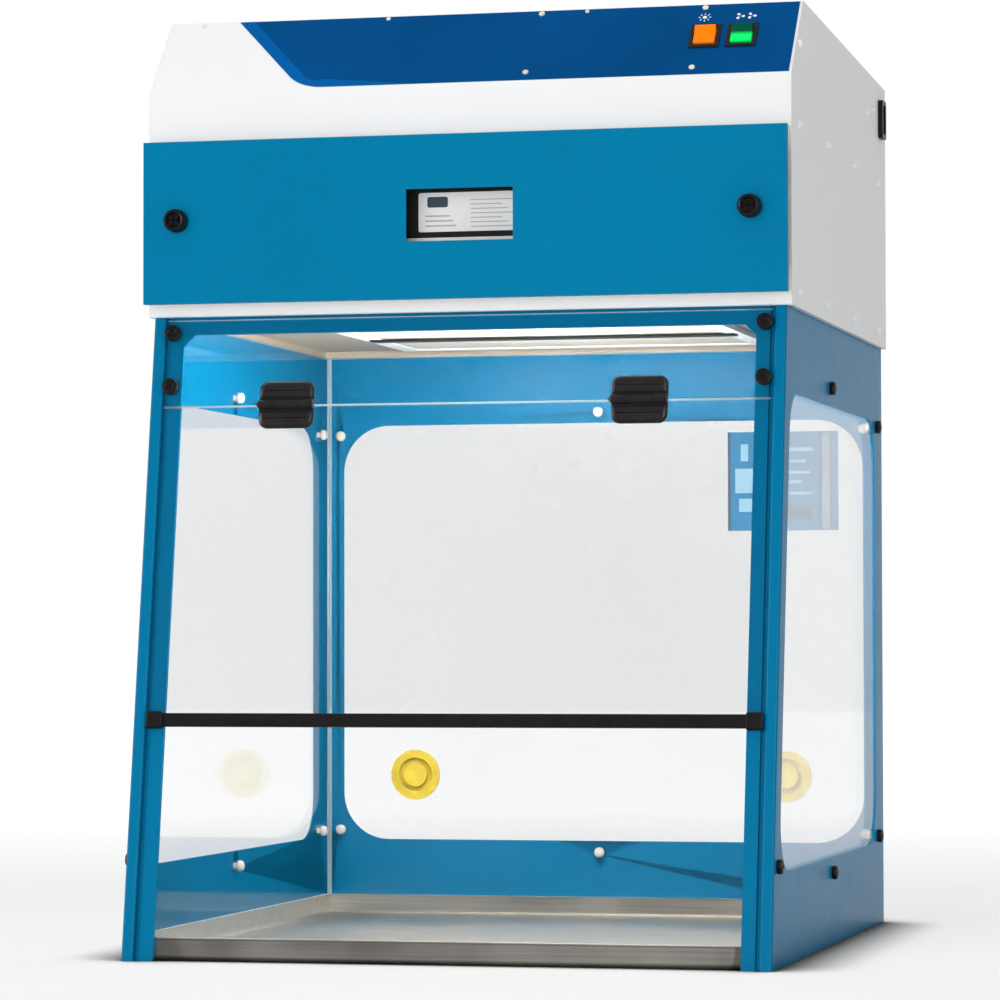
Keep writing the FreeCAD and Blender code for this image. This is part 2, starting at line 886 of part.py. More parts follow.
def head_right_side():
    skin = plate_x(head_side_points(), [0] * 5, head_inside_x, half_head)
    low = block(
        wall_inside_x + panel_gap, head_inside_x,
        head_front_y + 2 * fold_flange, head_inside_rear - panel_gap,
        cabinet_height, cabinet_height + head_sheet,
    )
    side = skin.fuse(low).removeSplitter()
    half_w = inlet_width / 2 - inlet_wall + 1.0
    half_h = inlet_height / 2 - inlet_wall + 1.0
    hole = block(
        head_inside_x - 1, half_head + 1,
        inlet_y - half_w, inlet_y + half_w, inlet_z - half_h, inlet_z + half_h
    )
    return side, hole


def head_screw_places():
    """Y and Z of the screws on each side of the head."""
    places = [(control_screw_y, control_top_z - control_screw_drop)]
    for rise in (head_screw_low_rise, head_screw_high_rise):
        for step in range(head_screw_rows):
            y = head_front_y + head_screw_front_inset + step * head_screw_pitch
            places.append((y, cabinet_height + rise))
    return places


def inlet_screw_places():
    """Y and Z of the two small screws ahead of the power inlet."""
    ahead = inlet_width * 2
    return [
        (inlet_y - ahead, inlet_z + inlet_screw_rise),
        (inlet_y - ahead - inlet_height, inlet_z - inlet_screw_rise)
    ]


def head_side_screws():
    screws = []
    for y, z in head_screw_places():
        for side in (1, -1):
            out = V(side, 0, 0)
            base = V(side * half_head, y, z)
            screws.append(dome_head(head_screw_facets, head_screw_radius, head_screw_height, base, out))
    for y, z in inlet_screw_places():
        base = V(half_head, y, z)
        screws.append(dome_head(head_screw_facets, inlet_screw_radius, inlet_screw_radius, base, V(1, 0, 0)))
    return group(screws)


def grille_slope(shape):
    """Lay a piece drawn flat on Z = 0 at the top cover's front edge onto its slope."""
    drop = math.degrees(math.atan2(control_top_z - head_rear_top, overall_depth - control_top_y))
    shape.rotate(V(0, 0, 0), V(1, 0, 0), -drop)
    shape.translate(V(0, control_top_y, control_top_z))
    return shape


def head_top_cover():
    run = math.hypot(overall_depth - control_top_y, control_top_z - head_rear_top)
    sheet = block(-head_inside_x, head_inside_x, fold_flange + 0.5, run - head_sheet, -head_sheet, 0)
    opening = rectangle(
        -grille_half_width + grille_border, grille_half_width - grille_border,
        grille_front_y - control_top_y + grille_border, grille_rear_y - control_top_y - grille_border,
    )
    return grille_slope(sheet.cut(plate_z(opening, [0] * 4, -5, 5)))


def exhaust_grille():
    start = grille_front_y - control_top_y
    finish = grille_rear_y - control_top_y
    corners = rectangle(-grille_half_width, grille_half_width, start, finish)
    plate = plate_z(corners, [0] * 4, 0, head_sheet)
    inside = grille_half_width - grille_border - grille_bar / 2
    column = (2 * inside - (grille_columns - 1) * grille_bar) / grille_columns
    depth = finish - start - 2 * grille_border - grille_bar
    pitch = depth / grille_rows
    for i in range(grille_columns):
        x0 = -inside + i * (column + grille_bar)
        for j in range(grille_rows):
            y0 = start + grille_border + grille_bar / 2 + (j + 0.5) * pitch - grille_slot_width / 2
            slot = block(x0, x0 + column, y0, y0 + grille_slot_width, -1, head_sheet + 1)
            plate = plate.cut(slot)
    return grille_slope(plate)


def head_rear_panel():
    top = head_rear_top - 2 * head_sheet
    sheet = block(-head_inside_x, head_inside_x, head_inside_rear, overall_depth, cabinet_height, top)
    lip = block(
        -head_inside_x + fold_flange, head_inside_x - fold_flange,
        head_inside_rear - fold_flange, head_inside_rear, cabinet_height, cabinet_height + head_sheet,
    )
    return sheet.fuse(lip).removeSplitter()


def head_base_pan():
    half = wall_inside_x
    front = head_front_y + fold_flange + 1.0
    rear = head_inside_rear - fold_flange - 1.0
    pan = block(-half, half, front, rear, cabinet_height, ceiling_z + head_sheet)
    inner = block(
        -half + head_sheet, half - head_sheet, front + head_sheet, rear - head_sheet, 0, ceiling_z
    )
    pan = pan.cut(inner)
    corners = rectangle(
        -ceiling_opening_half_width, ceiling_opening_half_width,
        ceiling_opening_front_y, ceiling_opening_rear_y
    )
    return pan.cut(plate_z(corners, [0] * 4, ceiling_z - 1, ceiling_z + 5))


def pre_filter_frame():
    border = pre_frame_border
    corners = rectangle(
        -ceiling_opening_half_width - border, ceiling_opening_half_width + border,
        ceiling_opening_front_y - border, ceiling_opening_rear_y + border,
    )
    frame = plate_z(corners, [0] * 4, ceiling_z - pre_frame_depth, ceiling_z)
    corners = rectangle(
        -ceiling_opening_half_width, ceiling_opening_half_width,
        ceiling_opening_front_y, ceiling_opening_rear_y
    )
    return frame.cut(plate_z(corners, [0] * 4, ceiling_z - 20, ceiling_z + 5))


def pre_filter_pad():
    return block(
        -ceiling_opening_half_width, ceiling_opening_half_width,
        ceiling_opening_front_y, ceiling_opening_rear_y,
        ceiling_z - pre_pad_depth, ceiling_z,
    )


def filter_door():
    corners = rectangle(-door_half_width, door_half_width, door_bottom, door_top)
    rear = door_front_y + door_pan_depth
    door = plate_y(corners, [0] * 4, door_front_y, rear)
    inner = rectangle(
        -door_half_width + head_sheet, door_half_width - head_sheet,
        door_bottom + head_sheet, door_top - head_sheet,
    )
    door = door.cut(plate_y(inner, [0] * 4, door_front_y + head_sheet, rear + 1))
    half = door_window_height / 2
    side = door_window_half_width
    window = rectangle(-side, side, door_knob_z - half, door_knob_z + half)
    door = door.cut(plate_y(window, [0] * 4, door_front_y - 1, rear))
    for x in (-door_knob_x, door_knob_x):
        door = door.cut(door_stud_hole(x, door_front_y))
    return door


def filter_door_frame():
    half = door_half_width - door_frame_margin
    low = door_bottom + door_frame_margin
    high = door_top - door_frame_margin
    front = door_front_y + door_pan_depth + door_frame_gap
    ring = plate_y(rectangle(-half, half, low, high), [0] * 4, front, head_front_y)
    wall = door_frame_wall
    inner = rectangle(-half + wall, half - wall, low + wall, high - wall)
    ring = ring.cut(plate_y(inner, [0] * 4, front - 1, head_front_y + 1))
    centre = door_knob_z
    for side in (-1, 1):
        for low_edge in (centre + door_slot_gap / 2, centre - door_slot_gap / 2 - door_slot_height):
            x0 = side * half - wall / 2
            slot = block(
                x0, x0 + wall, front + 2, front + 2 + door_slot_depth, low_edge, low_edge + door_slot_height
            )
            ring = ring.cut(slot)
    return ring


def door_knob(x):
    base = V(x, door_front_y - panel_gap, door_knob_z)
    out = V(0, -1, 0)
    skirt = faceted_rod(door_knob_facets, door_knob_radius, door_knob_height * 0.75, base, out)
    crown_base = base + out * (door_knob_height * 0.75)
    crown = faceted_cone(
        door_knob_facets, door_knob_radius, door_knob_radius * 0.8, door_knob_height * 0.25, crown_base, out
    )
    top = base + out * door_knob_height
    dimple = faceted_rod(8, door_knob_dimple, 1.5, top, out * -1)
    length = head_front_y - door_front_y + door_stud_reach
    stud = faceted_rod(pin_facets, door_stud_radius, length, base, V(0, 1, 0))
    return skirt.fuse(crown).cut(dimple).fuse(stud).removeSplitter()


def filter_case():
    outer = block(
        -filter_half_width, filter_half_width, filter_front_y, filter_rear_y, filter_bottom, filter_top
    )
    wall = filter_wall
    inner = block(
        -filter_half_width + wall, filter_half_width - wall, filter_front_y + wall, filter_rear_y - wall,
        filter_bottom - 1, filter_top + 1,
    )
    case = outer.cut(inner)
    middle = (filter_front_y + filter_rear_y) / 2
    for z in (filter_bottom, filter_top - filter_rib):
        case = case.fuse(block(
            -filter_half_width + wall, filter_half_width - wall, middle - wall / 2, middle + wall / 2,
            z, z + filter_rib,
        ))
    return case.removeSplitter()


def filter_media():
    wall = filter_wall
    return block(
        -filter_half_width + wall, filter_half_width - wall, filter_front_y + wall, filter_rear_y - wall,
        filter_bottom + filter_media_inset, filter_top - filter_media_inset,
    )


def filter_gasket():
    outer = block(
        -filter_half_width, filter_half_width, filter_front_y, filter_rear_y,
        filter_top, filter_top + gasket_height
    )
    wall = gasket_width
    inner = block(
        -filter_half_width + wall, filter_half_width - wall, filter_front_y + wall, filter_rear_y - wall,
        filter_top - 1, filter_top + gasket_height + 1,
    )
    return outer.cut(inner)


def filter_rails():
    floor = ceiling_z + head_sheet
    edge = filter_half_width + rail_gap
    fold = [
        (edge - rail_flange, filter_bottom - rail_sheet),
        (edge, filter_bottom - rail_sheet),
        (edge, floor),
        (edge + rail_flange, floor),
    ]
    corners, radii = folded(fold, rail_sheet, 0)
    front = head_front_y + fold_flange + 2.0
    place = extruded(corners, radii, lambda p: V(p.x, front, p.y), V(0, filter_rear_y - front, 0))
    return group([mirrored(place), place])


def fan_deck():
    front = head_front_y + 2 * head_sheet
    deck = block(-head_inside_x, head_inside_x, front, head_inside_rear, deck_z, deck_z + deck_sheet)
    return deck.cut(faceted_rod(fan_facets, fan_inlet_radius, 20, V(0, fan_y, deck_z - 5), V(0, 0, 1)))


def inlet_ring():
    """Collar with a coned mouth that leads the air into the impeller's eye."""
    base = V(0, fan_y, deck_z + deck_sheet)
    up = V(0, 0, 1)
    rim = fan_inlet_radius + inlet_ring_flare
    flange = faceted_rod(fan_facets, rim, deck_sheet, base, up)
    collar = faceted_rod(fan_facets, fan_inlet_radius, inlet_ring_height, base, up)
    mouth = faceted_cone(
        fan_facets, fan_inlet_radius - 1, fan_inlet_radius - deck_sheet - 1, inlet_ring_height, base, up
    )
    return flange.fuse(collar).cut(mouth).removeSplitter()


def fan_impeller():
    """Backward-inclined wheel: eye ring below, flat blades, and a back plate with the hub above."""
    low = deck_z + deck_sheet + inlet_ring_height + shroud_gap
    high = low + impeller_height
    up = V(0, 0, 1)
    eye = faceted_rod(fan_facets, impeller_radius, impeller_plate, V(0, 0, low), up)
    eye = eye.cut(faceted_rod(fan_facets, fan_inlet_radius, 10, V(0, 0, low - 2), up))
    wheel = faceted_rod(fan_facets, impeller_radius, impeller_plate, V(0, 0, high), up).fuse(eye)
    for i in range(blade_count):
        blade = block(0, blade_length, 0, blade_thickness, low, high + impeller_plate / 2)
        blade.rotate(V(0, 0, 0), up, blade_sweep)
        blade.translate(V(blade_inner_radius, 0, 0))
        blade.rotate(V(0, 0, 0), up, 360.0 * i / blade_count)
        wheel = wheel.fuse(blade)
    wheel = wheel.fuse(faceted_rod(pin_facets, hub_radius, 16, V(0, 0, high - 14), up))
    wheel = wheel.cut(rod(shaft_radius + shaft_clearance, 60, V(0, 0, high - 30), up))
    wheel.translate(V(0, fan_y, 0))
    return wheel.removeSplitter()


def motor_base_z():
    return deck_z + deck_sheet + inlet_ring_height + shroud_gap + impeller_height + impeller_plate + 4


def fan_motor():
    base = V(0, fan_y, motor_base_z())
    up = V(0, 0, 1)
    body = faceted_rod(fan_facets, motor_radius, motor_height * 0.8, base, up)
    cap = faceted_cone(
        fan_facets, motor_radius, motor_radius * 0.7, motor_height * 0.2,
        base + up * (motor_height * 0.8), up
    )
    shaft = faceted_rod(pin_facets, shaft_radius, 22, base, up * -1)
    return body.fuse(cap).fuse(shaft).removeSplitter()


def motor_bracket():
    top = motor_base_z() + motor_height + bracket_sheet
    low = deck_z + deck_sheet
    fold = [
        (-bracket_half_span - bracket_foot, low + bracket_sheet),
        (-bracket_half_span, low + bracket_sheet),
        (-bracket_half_span, top),
        (bracket_half_span, top),
        (bracket_half_span, low + bracket_sheet),
        (bracket_half_span + bracket_foot, low + bracket_sheet),
    ]
    corners, radii = folded([(a, b) for a, b in reversed(fold)], bracket_sheet, 0)
    half = bracket_width / 2
    return plate_y(corners, radii, fan_y - half, fan_y + half)


def control_overlay():
    low = overlay_margin
    high = control_length - overlay_margin
    corners = [
        (overlay_left_corner_x, low), (overlay_right_x, low),
        (overlay_right_x, high), (overlay_left_top_x, high)
    ]
    film = plate_y(corners, [overlay_corner, 0, 0, 0], -overlay_sheet, 0)
    for x in (lamp_switch_x, blower_switch_x):
        film = film.cut(switch_cutout(x))
    return on_control_panel(film)


def switch_housing(x):
    half = bezel_width / 2
    reach = bezel_length / 2
    mid = switch_height
    face = -overlay_sheet
    bezel = block(x - half, x + half, face - bezel_proud, face, mid - reach, mid + reach)
    wall = bezel_wall
    body = block(
        x - half + wall, x + half - wall, face, switch_body_depth,
        mid - reach + wall, mid + reach - wall
    )
    well_x = half - wall - 1.2
    well_z = reach - wall - 1.2
    well = block(x - well_x, x + well_x, face - 9, rocker_depth + 3, mid - well_z, mid + well_z)
    return on_control_panel(bezel.fuse(body).cut(well).removeSplitter())


def switch_rocker(x):
    """Rocker with a hollow of two facets; its pivot lies at the panel's face."""
    half = bezel_width / 2 - bezel_wall - 1.2 - rocker_gap
    reach = bezel_length / 2 - bezel_wall - 2.2 - rocker_gap
    face = -overlay_sheet - bezel_proud - rocker_proud
    mid = switch_height
    points = [
        (face, mid - reach), (face + rocker_sag, mid), (face, mid + reach),
        (rocker_depth - 3, mid + reach * 0.72), (rocker_depth, mid), (rocker_depth - 3, mid - reach * 0.72),
    ]
    body = plate_x(points, [0, 6.0, 0, 0, 0, 0], x - half, x + half)
    body.rotate(V(x, 0, mid), V(1, 0, 0), rocker_tilt)
    return on_control_panel(body)


def power_inlet():
    half_w = inlet_width / 2
    half_h = inlet_height / 2
    corners = rectangle(inlet_y - half_w, inlet_y + half_w, inlet_z - half_h, inlet_z + half_h)
    bezel = plate_x(corners, [inlet_corner] * 4, half_head, half_head + inlet_proud)
    wall = inlet_wall
    corners = rectangle(
        inlet_y - half_w + wall, inlet_y + half_w - wall, inlet_z - half_h + wall, inlet_z + half_h - wall
    )
    body = plate_x(corners, [0] * 4, half_head - inlet_body_depth, half_head)
    inset = wall + 1.5
    corners = rectangle(
        inlet_y - half_w + inset, inlet_y + half_w - inset,
        inlet_z - half_h + inset, inlet_z + half_h - inset
    )
    recess = plate_x(corners, [0] * 4, half_head + inlet_proud - inlet_recess, half_head + 10)
    return bezel.fuse(body).cut(recess).removeSplitter()


def inlet_pins():
    pins = []
    thick, tall = inlet_pin_size
    base = half_head + inlet_proud - inlet_recess
    aside = inlet_pin_stagger
    for dy, dz in ((-aside, 0.0), (aside, inlet_pin_pitch), (aside, -inlet_pin_pitch)):
        y = inlet_y + dy
        z = inlet_z + dz
        pin = block(
            base, base + inlet_recess - inlet_pin_setback,
            y - tall / 2, y + tall / 2, z - thick / 2, z + thick / 2
        )
        pins.append(pin)
    return group(pins)


def work_lamp():
    points = [
        (lamp_front_y, ceiling_z), (lamp_rear_y, ceiling_z),
        (lamp_rear_y - 6, ceiling_z - lamp_height), (lamp_front_y + 6, ceiling_z - lamp_height),
    ]
    return plate_x(points, [0, 0, 2.0, 2.0], -lamp_half_width, lamp_half_width)


def build():
    """All the pieces of the hood, by name."""
    pieces = {}
    pieces["right_side_wall"] = right_side_wall()
    pieces["left_side_wall"] = mirrored(pieces["right_side_wall"])
    pieces["back_wall"] = back_wall()
    pieces["front_frame"] = front_frame()
    pieces["work_tray"] = work_tray()
    pieces["right_clear_panel"] = right_clear_panel()
    pieces["left_clear_panel"] = mirrored(pieces["right_clear_panel"])
    pieces["back_clear_panel"] = back_clear_panel()
    pieces["upper_sash_panel"] = upper_sash_panel()
    pieces["lower_sash_panel"] = lower_sash_panel()
    pieces["hinge_upper_leaves"] = hinge_leaves(True)
    pieces["hinge_lower_leaves"] = hinge_leaves(False)
    pieces["hinge_pins"] = hinge_pins()
    pieces["sash_edge_bar"] = sash_edge_bar()
    pieces["sash_bar_ends"] = sash_bar_ends()
    pieces["sash_knobs"] = sash_knobs()
    pieces["panel_screws"] = panel_screws()
    pieces["panel_nuts"] = panel_nuts()
    pieces["port_flanges"] = port_flanges()
    pieces["port_plugs"] = port_plugs()
    pieces["information_card"] = information_card()
    pieces["head_front_panel"] = head_front_panel()
    side_sheet, inlet_hole = head_right_side()
    pieces["head_left_side"] = mirrored(side_sheet)
    pieces["head_right_side"] = side_sheet.cut(inlet_hole)
    pieces["head_top_cover"] = head_top_cover()
    pieces["head_side_screws"] = head_side_screws()
    pieces["exhaust_grille"] = exhaust_grille()
    pieces["head_rear_panel"] = head_rear_panel()
    pieces["head_base_pan"] = head_base_pan()
    pieces["pre_filter_frame"] = pre_filter_frame()
    pieces["pre_filter_pad"] = pre_filter_pad()
    pieces["filter_door"] = filter_door()
    pieces["filter_door_frame"] = filter_door_frame()
    pieces["door_knob_left"] = door_knob(-door_knob_x)
    pieces["door_knob_right"] = door_knob(door_knob_x)
    pieces["filter_case"] = filter_case()
    pieces["filter_media"] = filter_media()
    pieces["filter_gasket"] = filter_gasket()
    pieces["filter_rails"] = filter_rails()
    pieces["fan_deck"] = fan_deck()
    pieces["inlet_ring"] = inlet_ring()
    pieces["fan_impeller"] = fan_impeller()
    pieces["fan_motor"] = fan_motor()
    pieces["motor_bracket"] = motor_bracket()
    pieces["control_overlay"] = control_overlay()
    for name, x in (("lamp", lamp_switch_x), ("blower", blower_switch_x)):
        pieces[name + "_switch_housing"] = switch_housing(x)
        pieces[name + "_rocker"] = switch_rocker(x)
    pieces["power_inlet"] = power_inlet()
    pieces["inlet_pins"] = inlet_pins()
    pieces["work_lamp"] = work_lamp()
    return pieces


def write(pieces):
    os.makedirs("parts", exist_ok=True)
    for name, shape in pieces.items():
        shape.translate(V(0, -overall_depth / 2, 0))
        shape.exportStep(os.path.join("parts", name + ".step"))
        print(name, "solids", len(shape.Solids), "valid", shape.isValid(), "volume", round(shape.Volume))


write(build())
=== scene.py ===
"""Bench fume hood with a filter head: finishes, fasteners, printed films and a plain studio.

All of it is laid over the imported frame.
"""
import math

import bmesh
import bpy
from bpy.props import FloatProperty, FloatVectorProperty, PointerProperty
from bpy.types import Operator, Panel, PropertyGroup
from mathutils import Matrix, Vector


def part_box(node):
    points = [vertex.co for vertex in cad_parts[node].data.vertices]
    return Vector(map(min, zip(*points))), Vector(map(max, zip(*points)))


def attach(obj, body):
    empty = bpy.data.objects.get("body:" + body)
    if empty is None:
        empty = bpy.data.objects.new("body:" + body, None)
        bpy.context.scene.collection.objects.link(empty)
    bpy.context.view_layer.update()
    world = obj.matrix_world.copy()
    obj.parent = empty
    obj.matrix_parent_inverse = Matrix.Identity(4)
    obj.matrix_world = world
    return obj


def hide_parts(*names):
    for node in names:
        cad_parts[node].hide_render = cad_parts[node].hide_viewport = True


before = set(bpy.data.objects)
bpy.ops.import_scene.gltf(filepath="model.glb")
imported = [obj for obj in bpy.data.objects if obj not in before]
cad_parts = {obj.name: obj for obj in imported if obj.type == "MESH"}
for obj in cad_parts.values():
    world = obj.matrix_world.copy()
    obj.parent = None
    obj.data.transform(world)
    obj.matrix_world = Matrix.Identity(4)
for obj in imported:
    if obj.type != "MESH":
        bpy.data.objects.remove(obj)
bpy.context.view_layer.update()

bl_info = {
    "name": "Bench fume hood dressing",
    "version": (1, 0, 0),
    "blender": (4, 5, 0),
    "location": "3D View > Sidebar > Fume Hood",
    "description": "Dresses the packed frame of a filtered bench fume hood",
    "category": "Object",
}

MM = 0.001

# Foot of the front posts, and how far the front leans back
POST_FOOT_Y = -0.350
LEAN = math.atan2(99.0, 604.0)
# The hinges: how far from the middle, and their seam's height up the slope, in mm
HINGE_X = 169.5
SEAM_HEIGHT = 525
# Lower fold of the control panel, how far the panel leans back, and its length up the slope
CONTROL_FOLD_Y = -0.2525
CONTROL_FOLD_Z = 0.8185
CONTROL_LEAN = math.atan2(69.0, 76.5)
CONTROL_LENGTH = math.hypot(69.0, 76.5)
# Thickness of the printed film on it, and the film's margin, in mm
FILM = 0.5
FILM_MARGIN = 1.5
# The pass-through ports: how far from the middle
PORT_X = 0.203
# Edges that bend more than this stay sharp, in degrees
CREASE = 30.0
# Rounding of the edges of moulded parts
MOULDED_EDGE = 0.5 * MM
# Seed of the fasteners' random turns
SEED = 7
# Where the signs over the switches stand, in mm across and up the control panel
LAMP_SIGN = (219.0, 83.0)
WHEEL_SIGNS = ((252.5, 83.0), (263.5, 83.0))

OUT_FRONT = Vector((0, -math.cos(LEAN), math.sin(LEAN)))
OUT_CONTROL = Vector((0, -math.cos(CONTROL_LEAN), math.sin(CONTROL_LEAN)))
OUT_FORWARD = Vector((0, -1, 0))
OUT_RIGHT = Vector((1, 0, 0))
OUT_BACK = Vector((0, 1, 0))

# The finishes by name, filled in by the first operator
FINISHES = {}


def srgb(red, green, blue):
    """A colour seen on screen, 0 to 255, as the linear colour that a shader takes."""
    def linear(level):
        level /= 255
        return level / 12.92 if level <= 0.04045 else ((level + 0.055) / 1.055) ** 2.4
    return (linear(red), linear(green), linear(blue), 1.0)


def shade(colour, factor):
    return tuple(min(1.0, level * factor) for level in colour[:3]) + (1.0,)


def on_front(x, depth, height):
    """A point measured on the leaning front, in mm: across, in from the post faces, and up the slope."""
    y = depth * math.cos(LEAN) + height * math.sin(LEAN)
    z = -depth * math.sin(LEAN) + height * math.cos(LEAN)
    return Vector((x * MM, POST_FOOT_Y + y * MM, z * MM))


def on_control(x, height, proud=0.0):
    """A point on the sloping control panel, in mm: across, up the slope from its fold, and out from it."""
    foot = Vector((x * MM, CONTROL_FOLD_Y, CONTROL_FOLD_Z))
    along = Vector((0, math.sin(CONTROL_LEAN), math.cos(CONTROL_LEAN)))
    return foot + along * (height * MM) + OUT_CONTROL * (proud * MM)


# ---------------- sizes and colours

def paint_level(name, description, *screen_colour):
    return FloatVectorProperty(name=name, description=description, subtype="COLOR", size=4, min=0, max=1,
                               default=srgb(*screen_colour))


def small_length(name, description, default, lowest):
    return FloatProperty(name=name, description=description, default=default * MM, min=lowest * MM,
                         precision=5, subtype="DISTANCE", unit="LENGTH")


class HoodColours(PropertyGroup):
    cabinet: paint_level("Cabinet", "Powder coat of the walls and the front frame", 0, 114, 157)
    door: paint_level("Filter door", "Powder coat of the filter door", 0, 119, 161)
    head: paint_level("Head", "Powder coat of the white head", 236, 236, 236)
    overlay: paint_level("Control film", "Printed film on the control panel", 0, 73, 130)
    overlay_stripe: paint_level("Film stripe", "Lighter stripe along the film's edge", 0, 90, 160)
    port: paint_level("Ports", "Yellow plastic of the pass-through ports", 196, 174, 62)
    plastic: paint_level("Black plastic", "Moulded black plastic of screws and hinges", 27, 25, 26)
    lamp_rocker: paint_level("Lamp rocker", "Lit rocker of the lamp switch", 240, 112, 0)
    blower_rocker: paint_level("Blower rocker", "Lit rocker of the blower switch", 0, 222, 98)


class HoodSizes(PropertyGroup):
    edge_softness: small_length("Edge softness", "Width of the rounding on sheet edges", 0.35, 0)
    coat_grain: small_length("Coat grain", "Size of one dimple of the powder coat", 1.4, 0.2)
    head_screw_radius: small_length("Head screw", "Radius of the white pan heads", 4.15, 1)
    panel_screw_radius: small_length("Panel screw", "Radius of the black panel screws", 6.8, 2)


# ---------------- node trees

def apply(thing, **settings):
    for name, value in settings.items():
        setattr(thing, name, value)
    return thing


def wire(tree, kind, inputs, **settings):
    """A new node with its settings; each input is linked to a socket or set to a plain value."""
    node = apply(tree.nodes.new(kind), **settings)
    for key, source in inputs.items():
        feed(tree, node.inputs[key], source)
    return node


def feed(tree, socket, source):
    if hasattr(source, "is_output"):
        tree.links.new(source, socket)
    else:
        socket.default_value = source


class Finish:
    """A node material while it is being built."""

    def __init__(self, name, colour, roughness, metallic=0.0):
        self.material = bpy.data.materials.new(name)
        self.material.use_nodes = True
        self.material.diffuse_color = colour
        self.tree = self.material.node_tree
        self.shader = self.tree.nodes["Principled BSDF"]
        self.output = self.tree.nodes["Material Output"]
        self.set("Base Color", colour)
        self.set("Roughness", roughness)
        self.set("Metallic", metallic)

    def set(self, name, source):
        feed(self.tree, self.shader.inputs[name], source)

    def node(self, kind, inputs, **settings):
        return wire(self.tree, "ShaderNode" + kind, inputs, **settings)

    def place(self, scale=(1, 1, 1)):
        """Object coordinates, stretched for a pattern."""
        where = self.node("TexCoord", {}).outputs["Object"]
        return self.node("Mapping", {"Vector": where, "Scale": scale}).outputs["Vector"]

    def noise(self, where, scale, detail=3.0, roughness=0.5):
        inputs = {"Vector": where, "Scale": scale, "Detail": detail, "Roughness": roughness}
        return self.node("TexNoise", inputs).outputs["Fac"]

    def cells(self, where, scale):
        return self.node("TexVoronoi", {"Vector": where, "Scale": scale}).outputs["Distance"]

    def spread(self, value, low, high, to_low, to_high):
        """Maps a value from one range to another, held at both ends."""
        inputs = {"Value": value, "From Min": low, "From Max": high, "To Min": to_low, "To Max": to_high}
        return self.node("MapRange", inputs).outputs["Result"]

    def math(self, kind, first, second=0.0):
        return self.node("Math", {0: first, 1: second}, operation=kind).outputs[0]

    def blend(self, share, first, second):
        """One colour over another by a share from 0 to 1."""
        return self.node("Mix", {0: share, 6: first, 7: second}, data_type="RGBA").outputs[2]

    def mottle(self, pattern, first, second, start=0.3, end=0.7):
        """The first colour where a pattern is below its start, the second where it is above its end."""
        return self.blend(self.spread(pattern, start, end, 0, 1), first, second)

    def split(self, where):
        return self.node("SeparateXYZ", {0: where}).outputs

    def mix(self, share, first, second):
        return self.node("MixShader", {0: share, 1: first, 2: second}).outputs[0]

    def bump(self, height, strength, distance):
        bumped = self.node("Bump", {"Strength": strength, "Distance": distance, "Height": height})
        self.set("Normal", bumped.outputs["Normal"])

    def colour(self, source):
        self.set("Base Color", source)

    def uneven(self, pattern, low, high):
        """Lets the roughness follow a pattern."""
        self.set("Roughness", self.spread(pattern, 0.3, 0.7, low, high))

    def shine(self, level):
        self.set("Specular IOR Level", level)

    def lit(self, colour, strength):
        """Paints and lights the surface with one colour."""
        self.colour(colour)
        self.set("Emission Color", colour)
        self.set("Emission Strength", strength)


# ---------------- finishes

def powder_coat(name, colour, grain, roughness, cloud, peel, speckle, shine=0.3):
    """Baked powder coat: orange-peel skin, soft clouds in the tone and a fine speckle."""
    finish = Finish(name, colour, roughness)
    where = finish.place()
    toned = finish.mottle(finish.noise(where, 5.0, 4.0, 0.55), shade(colour, 1 - cloud), shade(colour, 1 + cloud))
    speckled = finish.mottle(finish.noise(where, 1 / grain, 2.0, 0.6), shade(colour, 1 - speckle * 3),
                             shade(colour, 1 + speckle * 3), 0.35, 0.65)
    finish.colour(finish.blend(0.35, toned, speckled))
    finish.uneven(finish.noise(where, 38.0, 3.0), roughness - 0.01, roughness + 0.02)
    finish.bump(finish.noise(where, 0.55 / grain, 2.0, 0.5), peel, 0.00012)
    finish.shine(shine)
    return finish.material


def moulded(name, colour, roughness):
    """Moulded plastic: a spark-eroded grain and slightly uneven gloss."""
    finish = Finish(name, colour, roughness)
    where = finish.place()
    finish.colour(finish.mottle(finish.noise(where, 60.0, 3.0), shade(colour, 0.86), shade(colour, 1.16)))
    finish.uneven(finish.noise(where, 150.0, 2.0), roughness - 0.06, roughness + 0.08)
    finish.bump(finish.noise(where, 900.0, 2.0, 0.7), 0.18, 0.0001)
    finish.shine(0.14)
    return finish.material


def brushed(name, colour, roughness):
    """Brushed metal: long fine streaks from side to side and a dull bloom."""
    finish = Finish(name, colour, roughness, 1.0)
    streaks = finish.noise(finish.place((5.0, 420.0, 420.0)), 1.0, 4.0, 0.65)
    bloom = finish.noise(finish.place(), 7.0, 4.0, 0.6)
    streaked = finish.mottle(streaks, shade(colour, 0.75), shade(colour, 1.05))
    finish.colour(finish.blend(finish.spread(bloom, 0.35, 0.7, 0, 0.35), streaked, shade(colour, 0.82)))
    finish.uneven(bloom, roughness - 0.06, roughness + 0.14)
    finish.bump(streaks, 0.12, 0.0001)
    return finish.material


